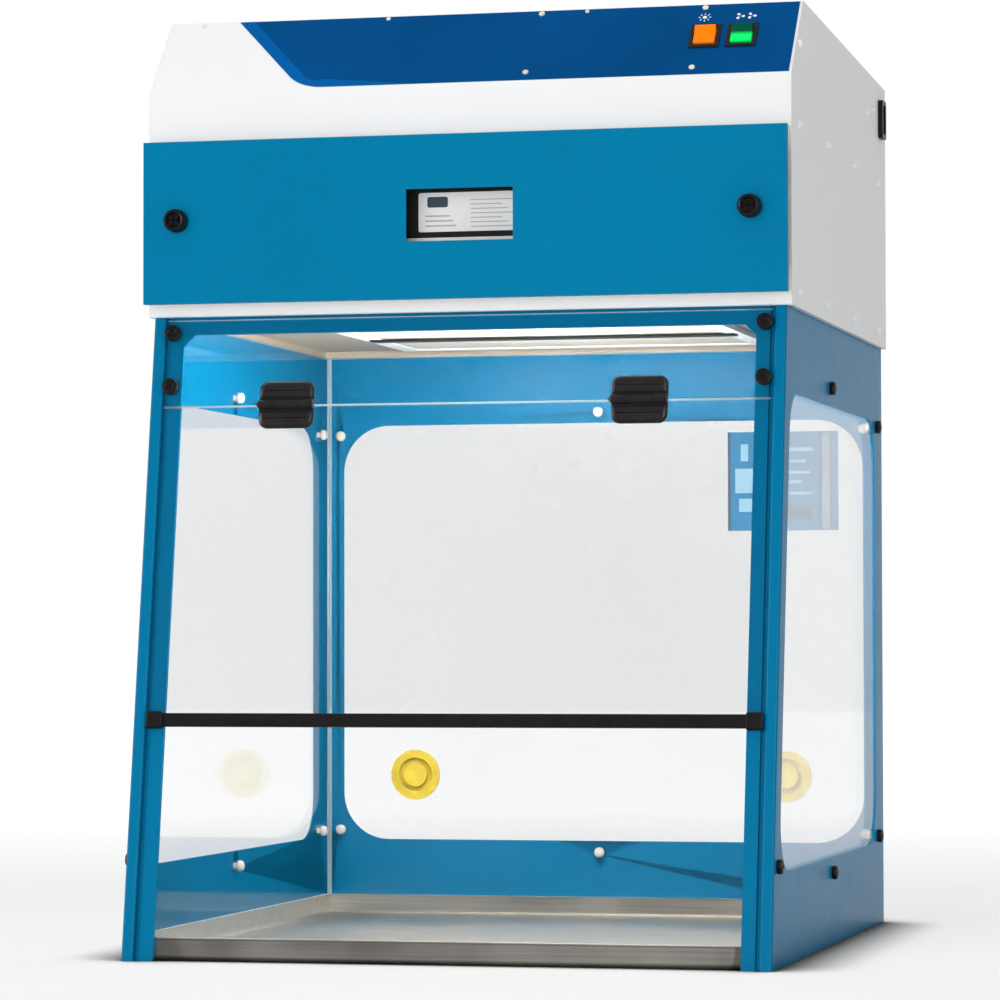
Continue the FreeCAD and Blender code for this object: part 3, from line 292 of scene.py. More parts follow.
def clear_sheet(name, axis, through, haze, grazing_mirror=0.96, sawn_axis=None):
    """Clear acrylic sheet: mirrors more at a grazing view, and its sawn edges are pale.

    Haze is the roughness of its mirror, and sawn_axis limits the pale edges to those that face along it.
    """
    finish = Finish(name, through, 0.05)
    finish.tree.nodes.remove(finish.shader)
    smear = finish.spread(finish.noise(finish.place(), 4.0, 4.0, 0.6), 0.35, 0.75, haze * 0.6, haze * 1.5)
    clear = finish.node("BsdfTransparent", {"Color": through}).outputs[0]
    gloss = finish.node("BsdfGlossy", {"Color": (1, 1, 1, 1), "Roughness": smear}).outputs[0]
    facing_away = finish.node("LayerWeight", {"Blend": 0.5}).outputs["Facing"]
    steep = finish.math("POWER", facing_away, 5.0)
    mirror = finish.math("ADD", finish.math("MULTIPLY", steep, grazing_mirror), 0.04)
    face = finish.mix(mirror, clear, gloss)
    edge = srgb(226, 232, 230)
    saw = finish.noise(finish.place((300.0, 300.0, 300.0)), 1.0, 2.0)
    sawn = finish.node("BsdfPrincipled",
                       {"Base Color": finish.mottle(saw, shade(edge, 0.86), edge), "Roughness": 0.35}).outputs[0]
    normal = finish.node("TexCoord", {}).outputs["Normal"]

    def faces_along(direction):
        across = finish.node("VectorMath", {0: normal, 1: direction}, operation="DOT_PRODUCT")
        return finish.math("GREATER_THAN", finish.math("ABSOLUTE", across.outputs["Value"]), 0.5)

    flat = finish.math("SUBTRACT", 1.0, faces_along(sawn_axis)) if sawn_axis else faces_along(axis)
    feed(finish.tree, finish.output.inputs["Surface"], finish.mix(flat, sawn, face))
    return finish.material


def printed_film(name, colour):
    """Printed polyester film: an even ink with a faint cloud and a pebbled skin."""
    finish = Finish(name, colour, 0.34)
    where = finish.place()
    finish.colour(finish.mottle(finish.noise(where, 9.0, 3.0), shade(colour, 0.9), shade(colour, 1.1)))
    finish.uneven(finish.noise(where, 1 / (3.0 * MM), 2.0), 0.3, 0.42)
    finish.bump(finish.cells(where, 1 / (0.5 * MM)), 0.1, 0.0001)
    finish.shine(0.01)
    return finish.material


def lit_rocker(name, colour, shaded_colour, glow, split_height, fade, below, above):
    """Translucent rocker that glows with its own lamp; a darker copy of its colour is painted in as shade, and below
    and above are the shares of the lit colour under and over a height.
    """
    finish = Finish(name, colour, 0.3)
    where = finish.place()
    share = finish.spread(finish.split(where)[2], split_height - fade, split_height + fade, below, above)
    grain = finish.spread(finish.noise(where, 700.0, 2.0), 0.3, 0.7, 0.9, 1.0)
    finish.lit(finish.blend(finish.math("MULTIPLY", share, grain), shaded_colour, colour), glow)
    finish.shine(0.05)
    finish.bump(finish.noise(where, 500.0, 2.0), 0.1, 0.0001)
    return finish.material


def diffuser(name, colour, glow):
    """Ribbed lamp diffuser, lit from behind."""
    finish = Finish(name, colour, 0.4)
    ribs = finish.math("SINE", finish.math("MULTIPLY", finish.split(finish.place())[0], 1400.0))
    finish.lit(finish.mottle(ribs, shade(colour, 0.88), colour, -1, 1), glow)
    finish.bump(ribs, 0.2, 0.0004)
    return finish.material


def galvanised(name, colour):
    """Galvanised steel: a spangle of dull grey flakes."""
    finish = Finish(name, colour, 0.4, 1.0)
    where = finish.place()
    flakes = finish.cells(where, 90.0)
    finish.colour(finish.mottle(flakes, shade(colour, 0.8), colour, 0.2, 0.8))
    finish.uneven(finish.noise(where, 60.0), 0.32, 0.5)
    finish.bump(flakes, 0.06, 0.0002)
    return finish.material


def fibre_pad(name, colour):
    """Bonded fibre wadding: tangled strands with open hollows."""
    finish = Finish(name, colour, 0.95)
    where = finish.place()
    strands = finish.noise(where, 420.0, 6.0, 0.75)
    finish.colour(finish.mottle(strands, shade(colour, 0.72), colour, 0.35, 0.65))
    finish.bump(finish.math("ADD", strands, finish.cells(where, 260.0)), 0.5, 0.0006)
    return finish.material


def cellular(name, colour, roughness, scale, inner, outer, end, strength, depth):
    """Grains or pores: each cell goes from an inner to an outer tone and stands out in relief."""
    finish = Finish(name, colour, roughness)
    cells = finish.cells(finish.place(), scale)
    finish.colour(finish.mottle(cells, shade(colour, inner), shade(colour, outer), 0.1, end))
    finish.bump(cells, strength, depth)
    return finish.material


def cast_alloy(name, colour):
    """Die-cast alloy with a sanded skin."""
    finish = Finish(name, colour, 0.5, 0.9)
    skin = finish.noise(finish.place(), 650.0, 4.0, 0.7)
    finish.colour(finish.mottle(skin, shade(colour, 0.85), colour))
    finish.bump(skin, 0.25, 0.0002)
    return finish.material


# ---------------- making meshes

def linked(name, data):
    thing = bpy.data.objects.new(name, data)
    bpy.context.scene.collection.objects.link(thing)
    return thing


def smoothed(mesh, crease):
    """Shades a mesh smooth but for the edges that bend more than an angle in degrees."""
    mesh.shade_smooth()
    mesh.set_sharp_from_angle(angle=math.radians(crease))
    return mesh


def add_piece(name, mesh, looks, body, crease=CREASE):
    """A finished piece at the origin, riding on a body."""
    for look in looks:
        mesh.materials.append(FINISHES[look])
    piece = linked(name, smoothed(mesh, crease))
    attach(piece, body)
    return piece


def merged_copy(node):
    """A CAD node's mesh with its loose triangles joined and its flat faces made whole."""
    shape = bmesh.new()
    shape.from_mesh(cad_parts[node].data)
    bmesh.ops.remove_doubles(shape, verts=shape.verts, dist=2e-6)
    bmesh.ops.dissolve_limit(shape, angle_limit=math.radians(0.4), verts=shape.verts, edges=shape.edges,
                             delimit={"NORMAL"})
    mesh = to_mesh(shape, node + "_soft")
    mesh.materials.clear()
    return mesh


def softened(node, look, body, width, segments=2, angle=32.0):
    """Stands a copy of a CAD node with rounded edges in the node's place, in the look's finish."""
    piece = add_piece(node + "_finished", merged_copy(node), (look,), body, angle)
    if width:
        apply(piece.modifiers.new("rounded edges", "BEVEL"), width=width, segments=segments, limit_method="ANGLE",
              angle_limit=math.radians(angle), use_clamp_overlap=True, harden_normals=True)
    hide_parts(node)
    return piece


def turned(profile, sides, flutes=None):
    """A bmesh turned round Z from (radius, height) pairs in mm, from the inside bottom to the inside top.

    Flutes are given by the lowest and highest ring they cut, their count, their depth and the least radius cut.
    """
    bottom, top, count, depth, least = flutes or (0, 0, 0, 0, math.inf)
    shape = bmesh.new()
    rings = []
    for radius, height in profile:
        cut = depth if bottom <= height <= top and radius > least else 0
        ring = []
        for step in range(sides if radius else 1):
            turn = 2 * math.pi * step / sides
            reach = radius - cut * (0.5 - 0.5 * math.cos(turn * count))
            ring.append(shape.verts.new(Vector((reach * math.cos(turn), reach * math.sin(turn), height)) * MM))
        rings.append(ring)
    for lower, upper in zip(rings, rings[1:]):
        for step in range(sides):
            after = (step + 1) % sides
            if len(lower) == 1:
                shape.faces.new((lower[0], upper[after], upper[step]))
            elif len(upper) == 1:
                shape.faces.new((lower[step], lower[after], upper[0]))
            else:
                shape.faces.new((lower[step], lower[after], upper[after], upper[step]))
    bmesh.ops.recalc_face_normals(shape, faces=shape.faces)
    return shape


def to_mesh(shape, name):
    mesh = bpy.data.meshes.new(name)
    shape.to_mesh(mesh)
    shape.free()
    return mesh


def closed_piece(name, shape, looks, body, crease=CREASE):
    """A piece from a bmesh of closed plates and solids."""
    bmesh.ops.recalc_face_normals(shape, faces=shape.faces)
    return add_piece(name, to_mesh(shape, name), looks, body, crease)


def band(shape, low, high):
    """Joins two rings by one face on each side."""
    ring = list(zip(low, low[1:] + low[:1], high[1:] + high[:1], high))
    return [shape.faces.new(corners) for corners in ring]


def prism(shape, corners, place, thickness, look_index=0):
    """Adds a flat plate to a bmesh from corners in its own plane, placed by a function of (x, y, proud)."""
    low = [shape.verts.new(place(x, y, 0.0)) for x, y in corners]
    high = [shape.verts.new(place(x, y, thickness)) for x, y in corners]
    for face in [shape.faces.new(low[::-1]), shape.faces.new(high)] + band(shape, low, high):
        face.material_index = look_index


def plates(shape, fields, place, thickness, look_index):
    """Adds one plate for each (left, right, bottom, top)."""
    for field in fields:
        prism(shape, rectangle(*field), place, thickness, look_index)


def rectangle(x0, x1, y0, y1):
    return [(x0, y0), (x1, y0), (x1, y1), (x0, y1)]


def rounded(corners, radii, steps):
    """Corners with tangent arcs, counter-clockwise in and out."""
    points = []
    count = len(corners)
    for index, radius in enumerate(radii):
        corner = Vector(corners[index])
        if not radius:
            points.append(tuple(corner))
            continue
        back = (Vector(corners[index - 1]) - corner).normalized()
        ahead = (Vector(corners[(index + 1) % count]) - corner).normalized()
        half = back.angle(ahead) / 2
        centre = corner + (back + ahead).normalized() * (radius / math.sin(half))
        start = corner + back * (radius / math.tan(half)) - centre
        end = corner + ahead * (radius / math.tan(half)) - centre
        sweep = start.angle_signed(end)
        for step in range(steps + 1):
            points.append(tuple(centre + Matrix.Rotation(-sweep * step / steps, 2) @ start))
    return points


def repeater():
    """Geometry Nodes tree that stands one fastener on each point, facing the point's own way."""
    tree = bpy.data.node_groups.new("fasteners_on_points", "GeometryNodeTree")
    tree.is_modifier = True
    for name, kind, default in (("Points", "Geometry", None), ("Fastener", "Object", None), ("Size", "Float", 1.0),
                                ("Random turn", "Float", 0.0), ("Seed", "Int", SEED), ("Finish", "Material", None)):
        socket = tree.interface.new_socket(name, in_out="INPUT", socket_type="NodeSocket" + kind)
        if default is not None:
            socket.default_value = default
    tree.interface.new_socket("Fasteners", in_out="OUTPUT", socket_type="NodeSocketGeometry")
    given = tree.nodes.new("NodeGroupInput").outputs
    source = wire(tree, "GeometryNodeObjectInfo", {"Object": given["Fastener"]}, transform_space="ORIGINAL")
    way = wire(tree, "GeometryNodeInputNamedAttribute", {"Name": "facing"}, data_type="FLOAT_VECTOR")
    align = wire(tree, "FunctionNodeAlignRotationToVector", {"Vector": way.outputs["Attribute"]}, axis="Z")
    turn = wire(tree, "FunctionNodeRandomValue",
                {"Min": 0.0, "Max": given["Random turn"], "Seed": given["Seed"]}, data_type="FLOAT")
    spin = wire(tree, "FunctionNodeAxisAngleToRotation", {"Axis": (0, 0, 1), "Angle": turn.outputs["Value"]})
    both = wire(tree, "FunctionNodeRotateRotation",
                {"Rotation": align.outputs["Rotation"], "Rotate By": spin.outputs["Rotation"]},
                rotation_space="LOCAL")
    stand = wire(tree, "GeometryNodeInstanceOnPoints",
                 {"Points": given["Points"], "Instance": source.outputs["Geometry"],
                  "Rotation": both.outputs["Rotation"], "Scale": given["Size"]})
    real = wire(tree, "GeometryNodeRealizeInstances", {"Geometry": stand.outputs["Instances"]})
    paint = wire(tree, "GeometryNodeSetMaterial",
                 {"Geometry": real.outputs["Geometry"], "Material": given["Finish"]})
    wire(tree, "NodeGroupOutput", {"Fasteners": paint.outputs["Geometry"]})
    return tree


def socket_id(tree, name):
    return next(item.identifier for item in tree.interface.items_tree
                if item.item_type == "SOCKET" and item.in_out == "INPUT" and item.name == name)


def repeated(name, shape, places, look, body, random_turn=0.0):
    """Stands one turned fastener at each (place, out) and gives one plain piece back."""
    tree = bpy.data.node_groups.get("fasteners_on_points") or repeater()
    sample = linked(name + "_sample", smoothed(to_mesh(shape, name + "_sample"), CREASE))
    points = bpy.data.meshes.new(name + "_points")
    points.from_pydata([place for place, out in places], [], [])
    ways = points.attributes.new("facing", "FLOAT_VECTOR", "POINT")
    for index, (place, out) in enumerate(places):
        ways.data[index].vector = out
    carrier = linked(name + "_carrier", points)
    maker = carrier.modifiers.new("fasteners", "NODES")
    maker.node_group = tree
    for socket, value in (("Fastener", sample), ("Random turn", random_turn), ("Seed", SEED),
                          ("Finish", FINISHES[look])):
        maker[socket_id(tree, socket)] = value
    bpy.context.view_layer.update()
    evaluated = carrier.evaluated_get(bpy.context.evaluated_depsgraph_get())
    mesh = bpy.data.meshes.new_from_object(evaluated)
    mesh.name = name
    bpy.data.objects.remove(carrier)
    bpy.data.objects.remove(sample)
    piece = linked(name, mesh)
    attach(piece, body)
    return piece


# ---------------- operators

class HOOD_OT_finishes(Operator):
    """Mix the finishes and give every frame part its own"""
    bl_idname = "hood.finishes"
    bl_label = "Finishes"

    def execute(self, context):
        colours = context.scene.hood_colours
        grain = context.scene.hood_sizes.coat_grain
        leaning = (0.0, math.cos(LEAN), -math.sin(LEAN))
        up_the_slope = (0.0, math.sin(LEAN), math.cos(LEAN))
        FINISHES.update({
            "cabinet_blue": powder_coat("cabinet_powder_coat", tuple(colours.cabinet), grain, 0.30, 0.03, 0.10, 0.02,
                                        0.03),
            "door_blue": powder_coat("door_powder_coat", tuple(colours.door), grain * 1.4, 0.36, 0.05, 0.4, 0.04,
                                     0.02),
            "head_white": powder_coat("head_powder_coat", tuple(colours.head), grain, 0.48, 0.012, 0.3, 0.008),
            # The head's underside: the white powder coat painted a darker grey, as painted shade under the head
            "ceiling_painted_shade": powder_coat("ceiling_powder_coat", srgb(156, 146, 132), grain, 0.48, 0.012, 0.3, 0.008),
            "stainless": brushed("tray_stainless", srgb(222, 218, 210), 0.40),
            "clear_side": clear_sheet("clear_side_sheet", (1, 0, 0), (0.955, 0.96, 0.962, 1), 0.07, 0.55),
            "clear_back": clear_sheet("clear_back_sheet", (0, 1, 0), (0.955, 0.958, 0.96, 1), 0.28),
            "clear_sash": clear_sheet("clear_sash_sheet", leaning, (0.99, 0.993, 0.995, 1), 0.02,
                                      sawn_axis=up_the_slope),
            "hinge_black": moulded("hinge_plastic", shade(colours.plastic, 1.9), 0.34),
            "black_plastic": moulded("screw_plastic", tuple(colours.plastic), 0.40),
            "cream_plastic": moulded("cream_nylon", srgb(226, 222, 206), 0.45),
            # A greyer copy of the cream nylon, for the dome nuts inside the chamber
            "dull_plastic": moulded("aged_nylon", srgb(196, 193, 182), 0.45),
            "white_plastic": moulded("white_nylon", srgb(255, 255, 254), 0.40),
            "yellow_plastic": moulded("port_plastic", tuple(colours.port), 0.38),
            "card": printed_film("card_print", srgb(58, 104, 136)),
            "card_light": printed_film("card_fields", srgb(122, 153, 169)),
            "card_pale": printed_film("card_side", srgb(118, 130, 140)),
            "card_dark": printed_film("card_strip", srgb(70, 84, 98)),
            "filter_pad": fibre_pad("pre_filter_wadding", srgb(214, 210, 200)),
            "filter_black": moulded("filter_case_plastic", srgb(34, 34, 36), 0.5),
            "filter_media": cellular("filter_carbon", srgb(38, 38, 40), 0.7, 380.0, 1.7, 0.5, 0.7, 0.6, 0.0012),
            "gasket": cellular("sealing_foam", srgb(46, 46, 48), 0.85, 900.0, 0.7, 1.2, 0.6, 0.35, 0.0003),
            "inner_steel": galvanised("galvanised_sheet", srgb(176, 180, 182)),
            "impeller_plastic": moulded("wheel_plastic", srgb(54, 56, 60), 0.45),
            "motor_alloy": cast_alloy("motor_casting", srgb(150, 152, 156)),
            "overlay_blue": printed_film("control_film", tuple(colours.overlay)),
            "overlay_stripe": printed_film("control_film_stripe", tuple(colours.overlay_stripe)),
            # Each rocker's second colour is a darker copy of it, painted in as shade over part of the rocker
            "lamp_orange": lit_rocker("lamp_rocker_lens", tuple(colours.lamp_rocker), srgb(150, 60, 0), 0.6, 0.855,
                                      0.03, 0.8, 1.0),
            "blower_green": lit_rocker("blower_rocker_lens", tuple(colours.blower_rocker), srgb(0, 70, 45), 0.5,
                                       0.8615, 0.002, 1.0, 0.0),
            "pin_metal": brushed("inlet_pin_brass", srgb(206, 196, 164), 0.3),
            "lamp_diffuser": diffuser("lamp_lens", srgb(255, 248, 236), 12.0),
            "label_white": printed_film("filter_label", srgb(244, 244, 242)),
            "label_grey": printed_film("filter_label_ink", srgb(186, 186, 186)),
        })
        clear = {
            "right_clear_panel": "clear_side", "left_clear_panel": "clear_side", "back_clear_panel": "clear_back",
            "upper_sash_panel": "clear_sash", "lower_sash_panel": "clear_sash",
        }
        for name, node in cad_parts.items():
            for slot in node.material_slots:
                slot.material = FINISHES[clear.get(name) or slot.material.name.split(".")[0]]
        return {"FINISHED"}


class HOOD_OT_sheet_metal(Operator):
    """Round the edges of the folded sheets of the cabinet and the head, give the head's underside a darker grey as
    painted shade, and lay dark foam strips in the gaps beside the door as painted shade
    """
    bl_idname = "hood.sheet_metal"
    bl_label = "Sheet metal"

    def execute(self, context):
        width = context.scene.hood_sizes.edge_softness
        for node in ("right_side_wall", "left_side_wall", "back_wall", "front_frame"):
            softened(node, "cabinet_blue", "cabinet", width)
        for node in ("head_front_panel", "head_left_side", "head_right_side", "head_top_cover",
                     "head_rear_panel", "exhaust_grille", "filter_door_frame", "pre_filter_frame"):
            softened(node, "head_white", "cabinet", width)
        # The head's underside takes the darker grey of painted shade
        softened("head_base_pan", "ceiling_painted_shade", "cabinet", width)
        softened("filter_door", "door_blue", "door", width * 1.4)
        softened("work_tray", "stainless", "cabinet", width)
        # Dark foam strips on the sides of the door frame, put in the gaps beside the door as painted shade
        low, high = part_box("filter_door_frame")
        front, rear = low.y + 1 * MM, high.y - 1 * MM
        shape = bmesh.new()
        for face, way in ((high.x, 1), (low.x, -1)):
            plates(shape, ((front, rear, 0.640, 0.704), (front, rear, 0.709, 0.746)),
                   lambda y, z, h, face=face, way=way: Vector((face + way * h, y, z)), 0.6 * MM, 0)
        closed_piece("door_seal_strips", shape, ("gasket",), "cabinet")
        return {"FINISHED"}


class HOOD_OT_pre_filter_shade_strip(Operator):
    """Lay a thin black strip under the pre-filter frame, as painted shade for the dark line across the ceiling there
    """
    bl_idname = "hood.pre_filter_bar"
    bl_label = "Pre-filter shade strip"

    def execute(self, context):
        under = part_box("pre_filter_frame")[0].z / MM
        # A black strip where a dark shadow line crosses the ceiling: painted shade
        shape = bmesh.new()
        prism(shape, rounded(rectangle(-191, 191, 106, 130), [3, 3, 3, 3], 4),
              lambda x, y, h: Vector((x, y, under - h)) * MM, 1.6)
        closed_piece("pre_filter_bar", shape, ("black_plastic",), "cabinet")
        return {"FINISHED"}


class HOOD_OT_sash_fittings(Operator):
    """Finish the moulded hinges, the edge bar and its end caps"""
    bl_idname = "hood.sash_fittings"
    bl_label = "Sash fittings"

    def execute(self, context):
        softened("hinge_upper_leaves", "hinge_black", "cabinet", 1.1 * MM, 4, 40)
        softened("hinge_lower_leaves", "hinge_black", "sash", 1.1 * MM, 4, 40)
        softened("sash_edge_bar", "black_plastic", "sash", MOULDED_EDGE, 3)
        softened("sash_bar_ends", "black_plastic", "sash", 0.8 * MM, 3)
        self.pillows("hinge_upper_pillows", 1, "cabinet")
        self.pillows("hinge_lower_pillows", -1, "sash")
        return {"FINISHED"}

    def pillows(self, name, way, body):
        """Domes the two leaves above or below the hinge seam."""
        half_width, near, far = 25.8, 6.0, 21.9
        inner_radius, outer_radius = 2.0, 8.0
        shape = bmesh.new()
        for hinge in (-HINGE_X, HINGE_X):
            rings = []
            for inset, proud in ((0.0, 2.5), (0.7, 3.4), (2.0, 4.2), (3.6, 4.7), (5.6, 4.9)):
                outer = outer_radius - 0.8 * inset
                edge = rounded(rectangle(inset - half_width, half_width - inset, near + inset, far - inset),
                               [inner_radius, inner_radius, outer, outer], 6)
                rings.append([shape.verts.new(on_front(hinge + x, -proud, SEAM_HEIGHT + way * s)) for x, s in edge])
            for low, high in zip(rings, rings[1:]):
                band(shape, low, high)
            shape.faces.new(rings[-1])
            shape.faces.new(rings[0][::-1])
        closed_piece(name, shape, ("hinge_black",), body, 60.0)


class HOOD_OT_sash_knobs(Operator):
    """Turn the four round thumb screws that clamp the fixed sash strip"""
    bl_idname = "hood.sash_knobs"
    bl_label = "Sash knobs"

    def execute(self, context):
        profile = [(0, 0), (6.9, 0), (7.2, 0.3), (7.2, 0.9), (7.8, 1.4), (7.8, 6.0), (7.3, 7.0), (6.2, 7.5),
                   (4.2, 7.5), (3.7, 7.1), (3.4, 6.2), (0, 6.0)]
        strip_face = 0.8
        places = [(on_front(x, strip_face, height), OUT_FRONT) for x in (-285, 285) for height in (544, 596)]
        knobs = repeated("sash_thumb_screws", turned(profile, 60, (1.3, 6.1, 20, 0.35, 5)), places,
                         "black_plastic", "cabinet", 0.3)
        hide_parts("sash_knobs")
        return {"FINISHED"}


class HOOD_OT_panel_screws(Operator):
    """Stand the black panel screws outside the walls and their dome nuts inside"""
    bl_idname = "hood.panel_screws"
    bl_label = "Panel screws"

    def execute(self, context):
        radius = context.scene.hood_sizes.panel_screw_radius / MM
        side = [(2, 542), (308, 519.5), (308, 92), (2, 70), (-316, 92)]
        back = [(0, 542), (0, 70), (-287, 519.5), (287, 519.5), (-287, 92), (287, 92)]
        side_out, side_in = 305, 299
        back_out, back_in = 348.5, 342.5
        outside, inside = [], []
        for y, z in side:
            for out in (OUT_RIGHT, -OUT_RIGHT):
                outside.append((Vector((out.x * side_out, y, z)) * MM, out))
                inside.append((Vector((out.x * side_in, y, z)) * MM, -out))
        for x, z in back:
            outside.append((Vector((x, back_out, z)) * MM, OUT_BACK))
            inside.append((Vector((x, back_in, z)) * MM, -OUT_BACK))
        head = [(0, 0), (radius - 1.2, 0), (radius - 0.6, 0.25), (radius, 0.9), (radius, 3.6), (radius - 0.5, 4.6),
                (radius - 1.5, 5.3), (radius - 2.6, 5.5), (2.6, 5.5), (2.2, 5.2), (2.0, 4.4), (0, 4.2)]
        screws = repeated("panel_thumb_screws", turned(head, 48, (0.8, 4.7, 12, 0.5, 4)), outside,
                          "black_plastic", "cabinet", 0.5)
        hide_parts("panel_screws")
        nut = [(0, 0), (5.0, 0), (5.4, 0.4), (5.4, 2.6), (5.0, 4.0), (4.0, 5.2), (2.4, 5.9), (0, 6.0)]
        nuts = repeated("panel_dome_nuts", turned(nut, 36), inside, "dull_plastic", "cabinet")
        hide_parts("panel_nuts")
        return {"FINISHED"}


class HOOD_OT_door_knobs(Operator):
    """Turn the two fluted thumb screws of the filter door, with a cross recess in each"""
    bl_idname = "hood.door_knobs"
    bl_label = "Door knobs"

    def execute(self, context):
        length = 26.7
        profile = [(0, 0), (3.0, 0), (3.0, 13.8), (9.6, 13.8), (10.4, 14.1), (11.0, 14.9), (11.0, 24.2),
                   (10.5, 25.6), (9.4, 26.6), (8.6, length), (7.6, 26.4), (7.0, 25.4), (6.8, 23.2), (0, 22.8)]
        for name, body in (("door_knob_left", "left_knob"), ("door_knob_right", "right_knob")):
            shape = turned(profile, 96, (14.0, 25.7, 24, 0.45, 9))
            for turn in (45, 135):
                spoke = Matrix.Rotation(math.radians(turn), 4, "Z")
                prism(shape, rectangle(-6.6, 6.6, -1.1, 1.1),
                      lambda x, y, h, spoke=spoke: spoke @ (Vector((x, y, 22.6 + h)) * MM), 2.4)
            bmesh.ops.recalc_face_normals(shape, faces=shape.faces)
            low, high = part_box(name)
            place = Vector(((low.x + high.x) / 2, high.y, (low.z + high.z) / 2))
            shape.transform(Matrix.Translation(place) @ Matrix.Rotation(math.pi / 2, 4, "X")
                            @ Matrix.Scale((high.y - low.y) / (length * MM), 4, (0, 0, 1)))
            knob = add_piece(name + "_fluted", to_mesh(shape, name + "_fluted"), ("black_plastic",), body)
            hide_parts(name)
        return {"FINISHED"}


class HOOD_OT_head_screws(Operator):
    """Drive the white pan-head screws of the head and the cream ones of the control panel"""
    bl_idname = "hood.head_screws"
    bl_label = "Head screws"

    def execute(self, context):
        radius = context.scene.hood_sizes.head_screw_radius / MM
        pan = [(0, 0), (radius, 0), (radius, 1.5), (radius - 0.3, 2.7), (radius - 1.1, 3.6), (radius - 2.2, 4.0),
               (1.7, 4.1), (1.4, 3.6), (1.0, 2.6), (0, 2.4)]

        def smaller(across, high):
            return [(r * across, h * high) for r, h in pan]

        left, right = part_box("head_left_side")[0].x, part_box("head_right_side")[1].x
        side = []
        for face, out in ((right, OUT_RIGHT), (left, -OUT_RIGHT)):
            for z in (0.774, 0.6187):
                for y in (-0.216, -0.046, 0.1195, 0.2835):
                    side.append((Vector((face, y, z)), out))
            side.append((Vector((face, -0.213, 0.850)), out))
        screws = repeated("head_pan_screws", turned(pan, 32), side, "white_plastic", "cabinet", 6.28)
        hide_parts("head_side_screws")
        beside = [(Vector((right, 0.2175, 0.839)), OUT_RIGHT), (Vector((right, 0.2575, 0.847)), OUT_RIGHT)]
        inlet = repeated("inlet_side_screws", turned(smaller(0.65, 0.65), 24), beside, "white_plastic", "cabinet")
        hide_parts("head_side_screws")
        for name, scale, spots in (("control_screws", 0.7, ((60, 97), (218, 97), (57, 12), (215.5, 11))),
                                   ("control_edge_screws", 0.5, ((-276, 98), (-91, 98), (104, 98)))):
            places = [(on_control(x, height, FILM), OUT_CONTROL) for x, height in spots]
            repeated(name, turned(smaller(scale, 0.4), 28), places, "cream_plastic", "cabinet")
        return {"FINISHED"}


class HOOD_OT_ports(Operator):
    """Finish the yellow pass-through ports and the plugs in them"""
    bl_idname = "hood.ports"
    bl_label = "Ports"

    def execute(self, context):
        softened("port_flanges", "yellow_plastic", "cabinet", 0.6 * MM, 3, 40)
        plug = [(0, 0), (22.0, 0), (22.0, 6.4), (21.2, 7.5), (18.9, 7.7), (18.0, 7.0), (17.7, 3.2), (13.7, 3.2),
                (13.3, 8.3), (12.4, 9.1), (0, 9.2)]
        low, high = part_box("port_plugs")
        places = [(Vector((x, high.y, (low.z + high.z) / 2)), OUT_FORWARD) for x in (-PORT_X, PORT_X)]
        plugs = repeated("port_plugs_turned", turned(plug, 64), places, "yellow_plastic", "cabinet")
        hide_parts("port_plugs")
        return {"FINISHED"}


class HOOD_OT_controls(Operator):
    """Lay the printed film on the control panel and finish the two lit rocker switches"""
    bl_idname = "hood.controls"
    bl_label = "Controls"

    def execute(self, context):
        softened("control_overlay", "overlay_blue", "cabinet", 0.12 * MM, 2, 40)
        self.stripe()
        self.signs()
        for node in ("lamp_switch_housing", "blower_switch_housing"):
            softened(node, "black_plastic", "cabinet", MOULDED_EDGE, 3)
        softened("lamp_rocker", "lamp_orange", "lamp_switch", MOULDED_EDGE, 3)
        softened("blower_rocker", "blower_green", "blower_switch", MOULDED_EDGE, 3)
        return {"FINISHED"}

    def stripe(self):
        """The lighter stripe along the film's slanted and rounded left edge, which runs out along its foot."""
        foot, top = FILM_MARGIN, CONTROL_LENGTH - FILM_MARGIN
        left, right, slant_top, arc_steps = -161.0, 307.5, -240.0, 14
        edge = rounded([(left, foot), (right, foot), (right, top), (slant_top, top)], [45, 0, 0, 0], arc_steps)
        arc = edge[:arc_steps + 1]
        inset = [(slant_top + 15.0, top)]
        for index, (x, height) in enumerate(arc):
            share = index / arc_steps
            inset.append((x + 14.0 * (1 - share), height + 11.0 * share))
        shape = bmesh.new()
        prism(shape, [(slant_top, top)] + arc + [(-50.0, foot)] + inset[::-1],
              lambda x, height, h: on_control(x, height, FILM + h), 0.12)
        closed_piece("control_film_stripe", shape, ("overlay_stripe",), "cabinet")

    def signs(self):
        """A lamp sign and a wheel sign over the switches, with no words."""
        shape = bmesh.new()

        def sign(place, corners, turn=0.0, scale=1.0):
            x, height = place
            turned_corners = [tuple(Matrix.Rotation(turn, 2) @ Vector(corner) * scale) for corner in corners]
            prism(shape, turned_corners, lambda a, b, h: on_control(x + a, height + b, FILM + h), 0.1)

        for spoke in range(8):
            sign(LAMP_SIGN, rectangle(2.9, 4.6, -0.35, 0.35), spoke * math.pi / 4, 1.3)
        sign(LAMP_SIGN, [(2.0 * math.cos(a * math.pi / 8), 2.0 * math.sin(a * math.pi / 8)) for a in range(16)])
        for blade in range(3):
            for place in WHEEL_SIGNS:
                sign(place, [(0.9, -0.3), (3.2, -1.9), (4.7, -0.6), (4.4, 1.2), (2.2, 1.0)],
                     blade * 2 * math.pi / 3)
        closed_piece("control_signs", shape, ("label_white",), "cabinet")


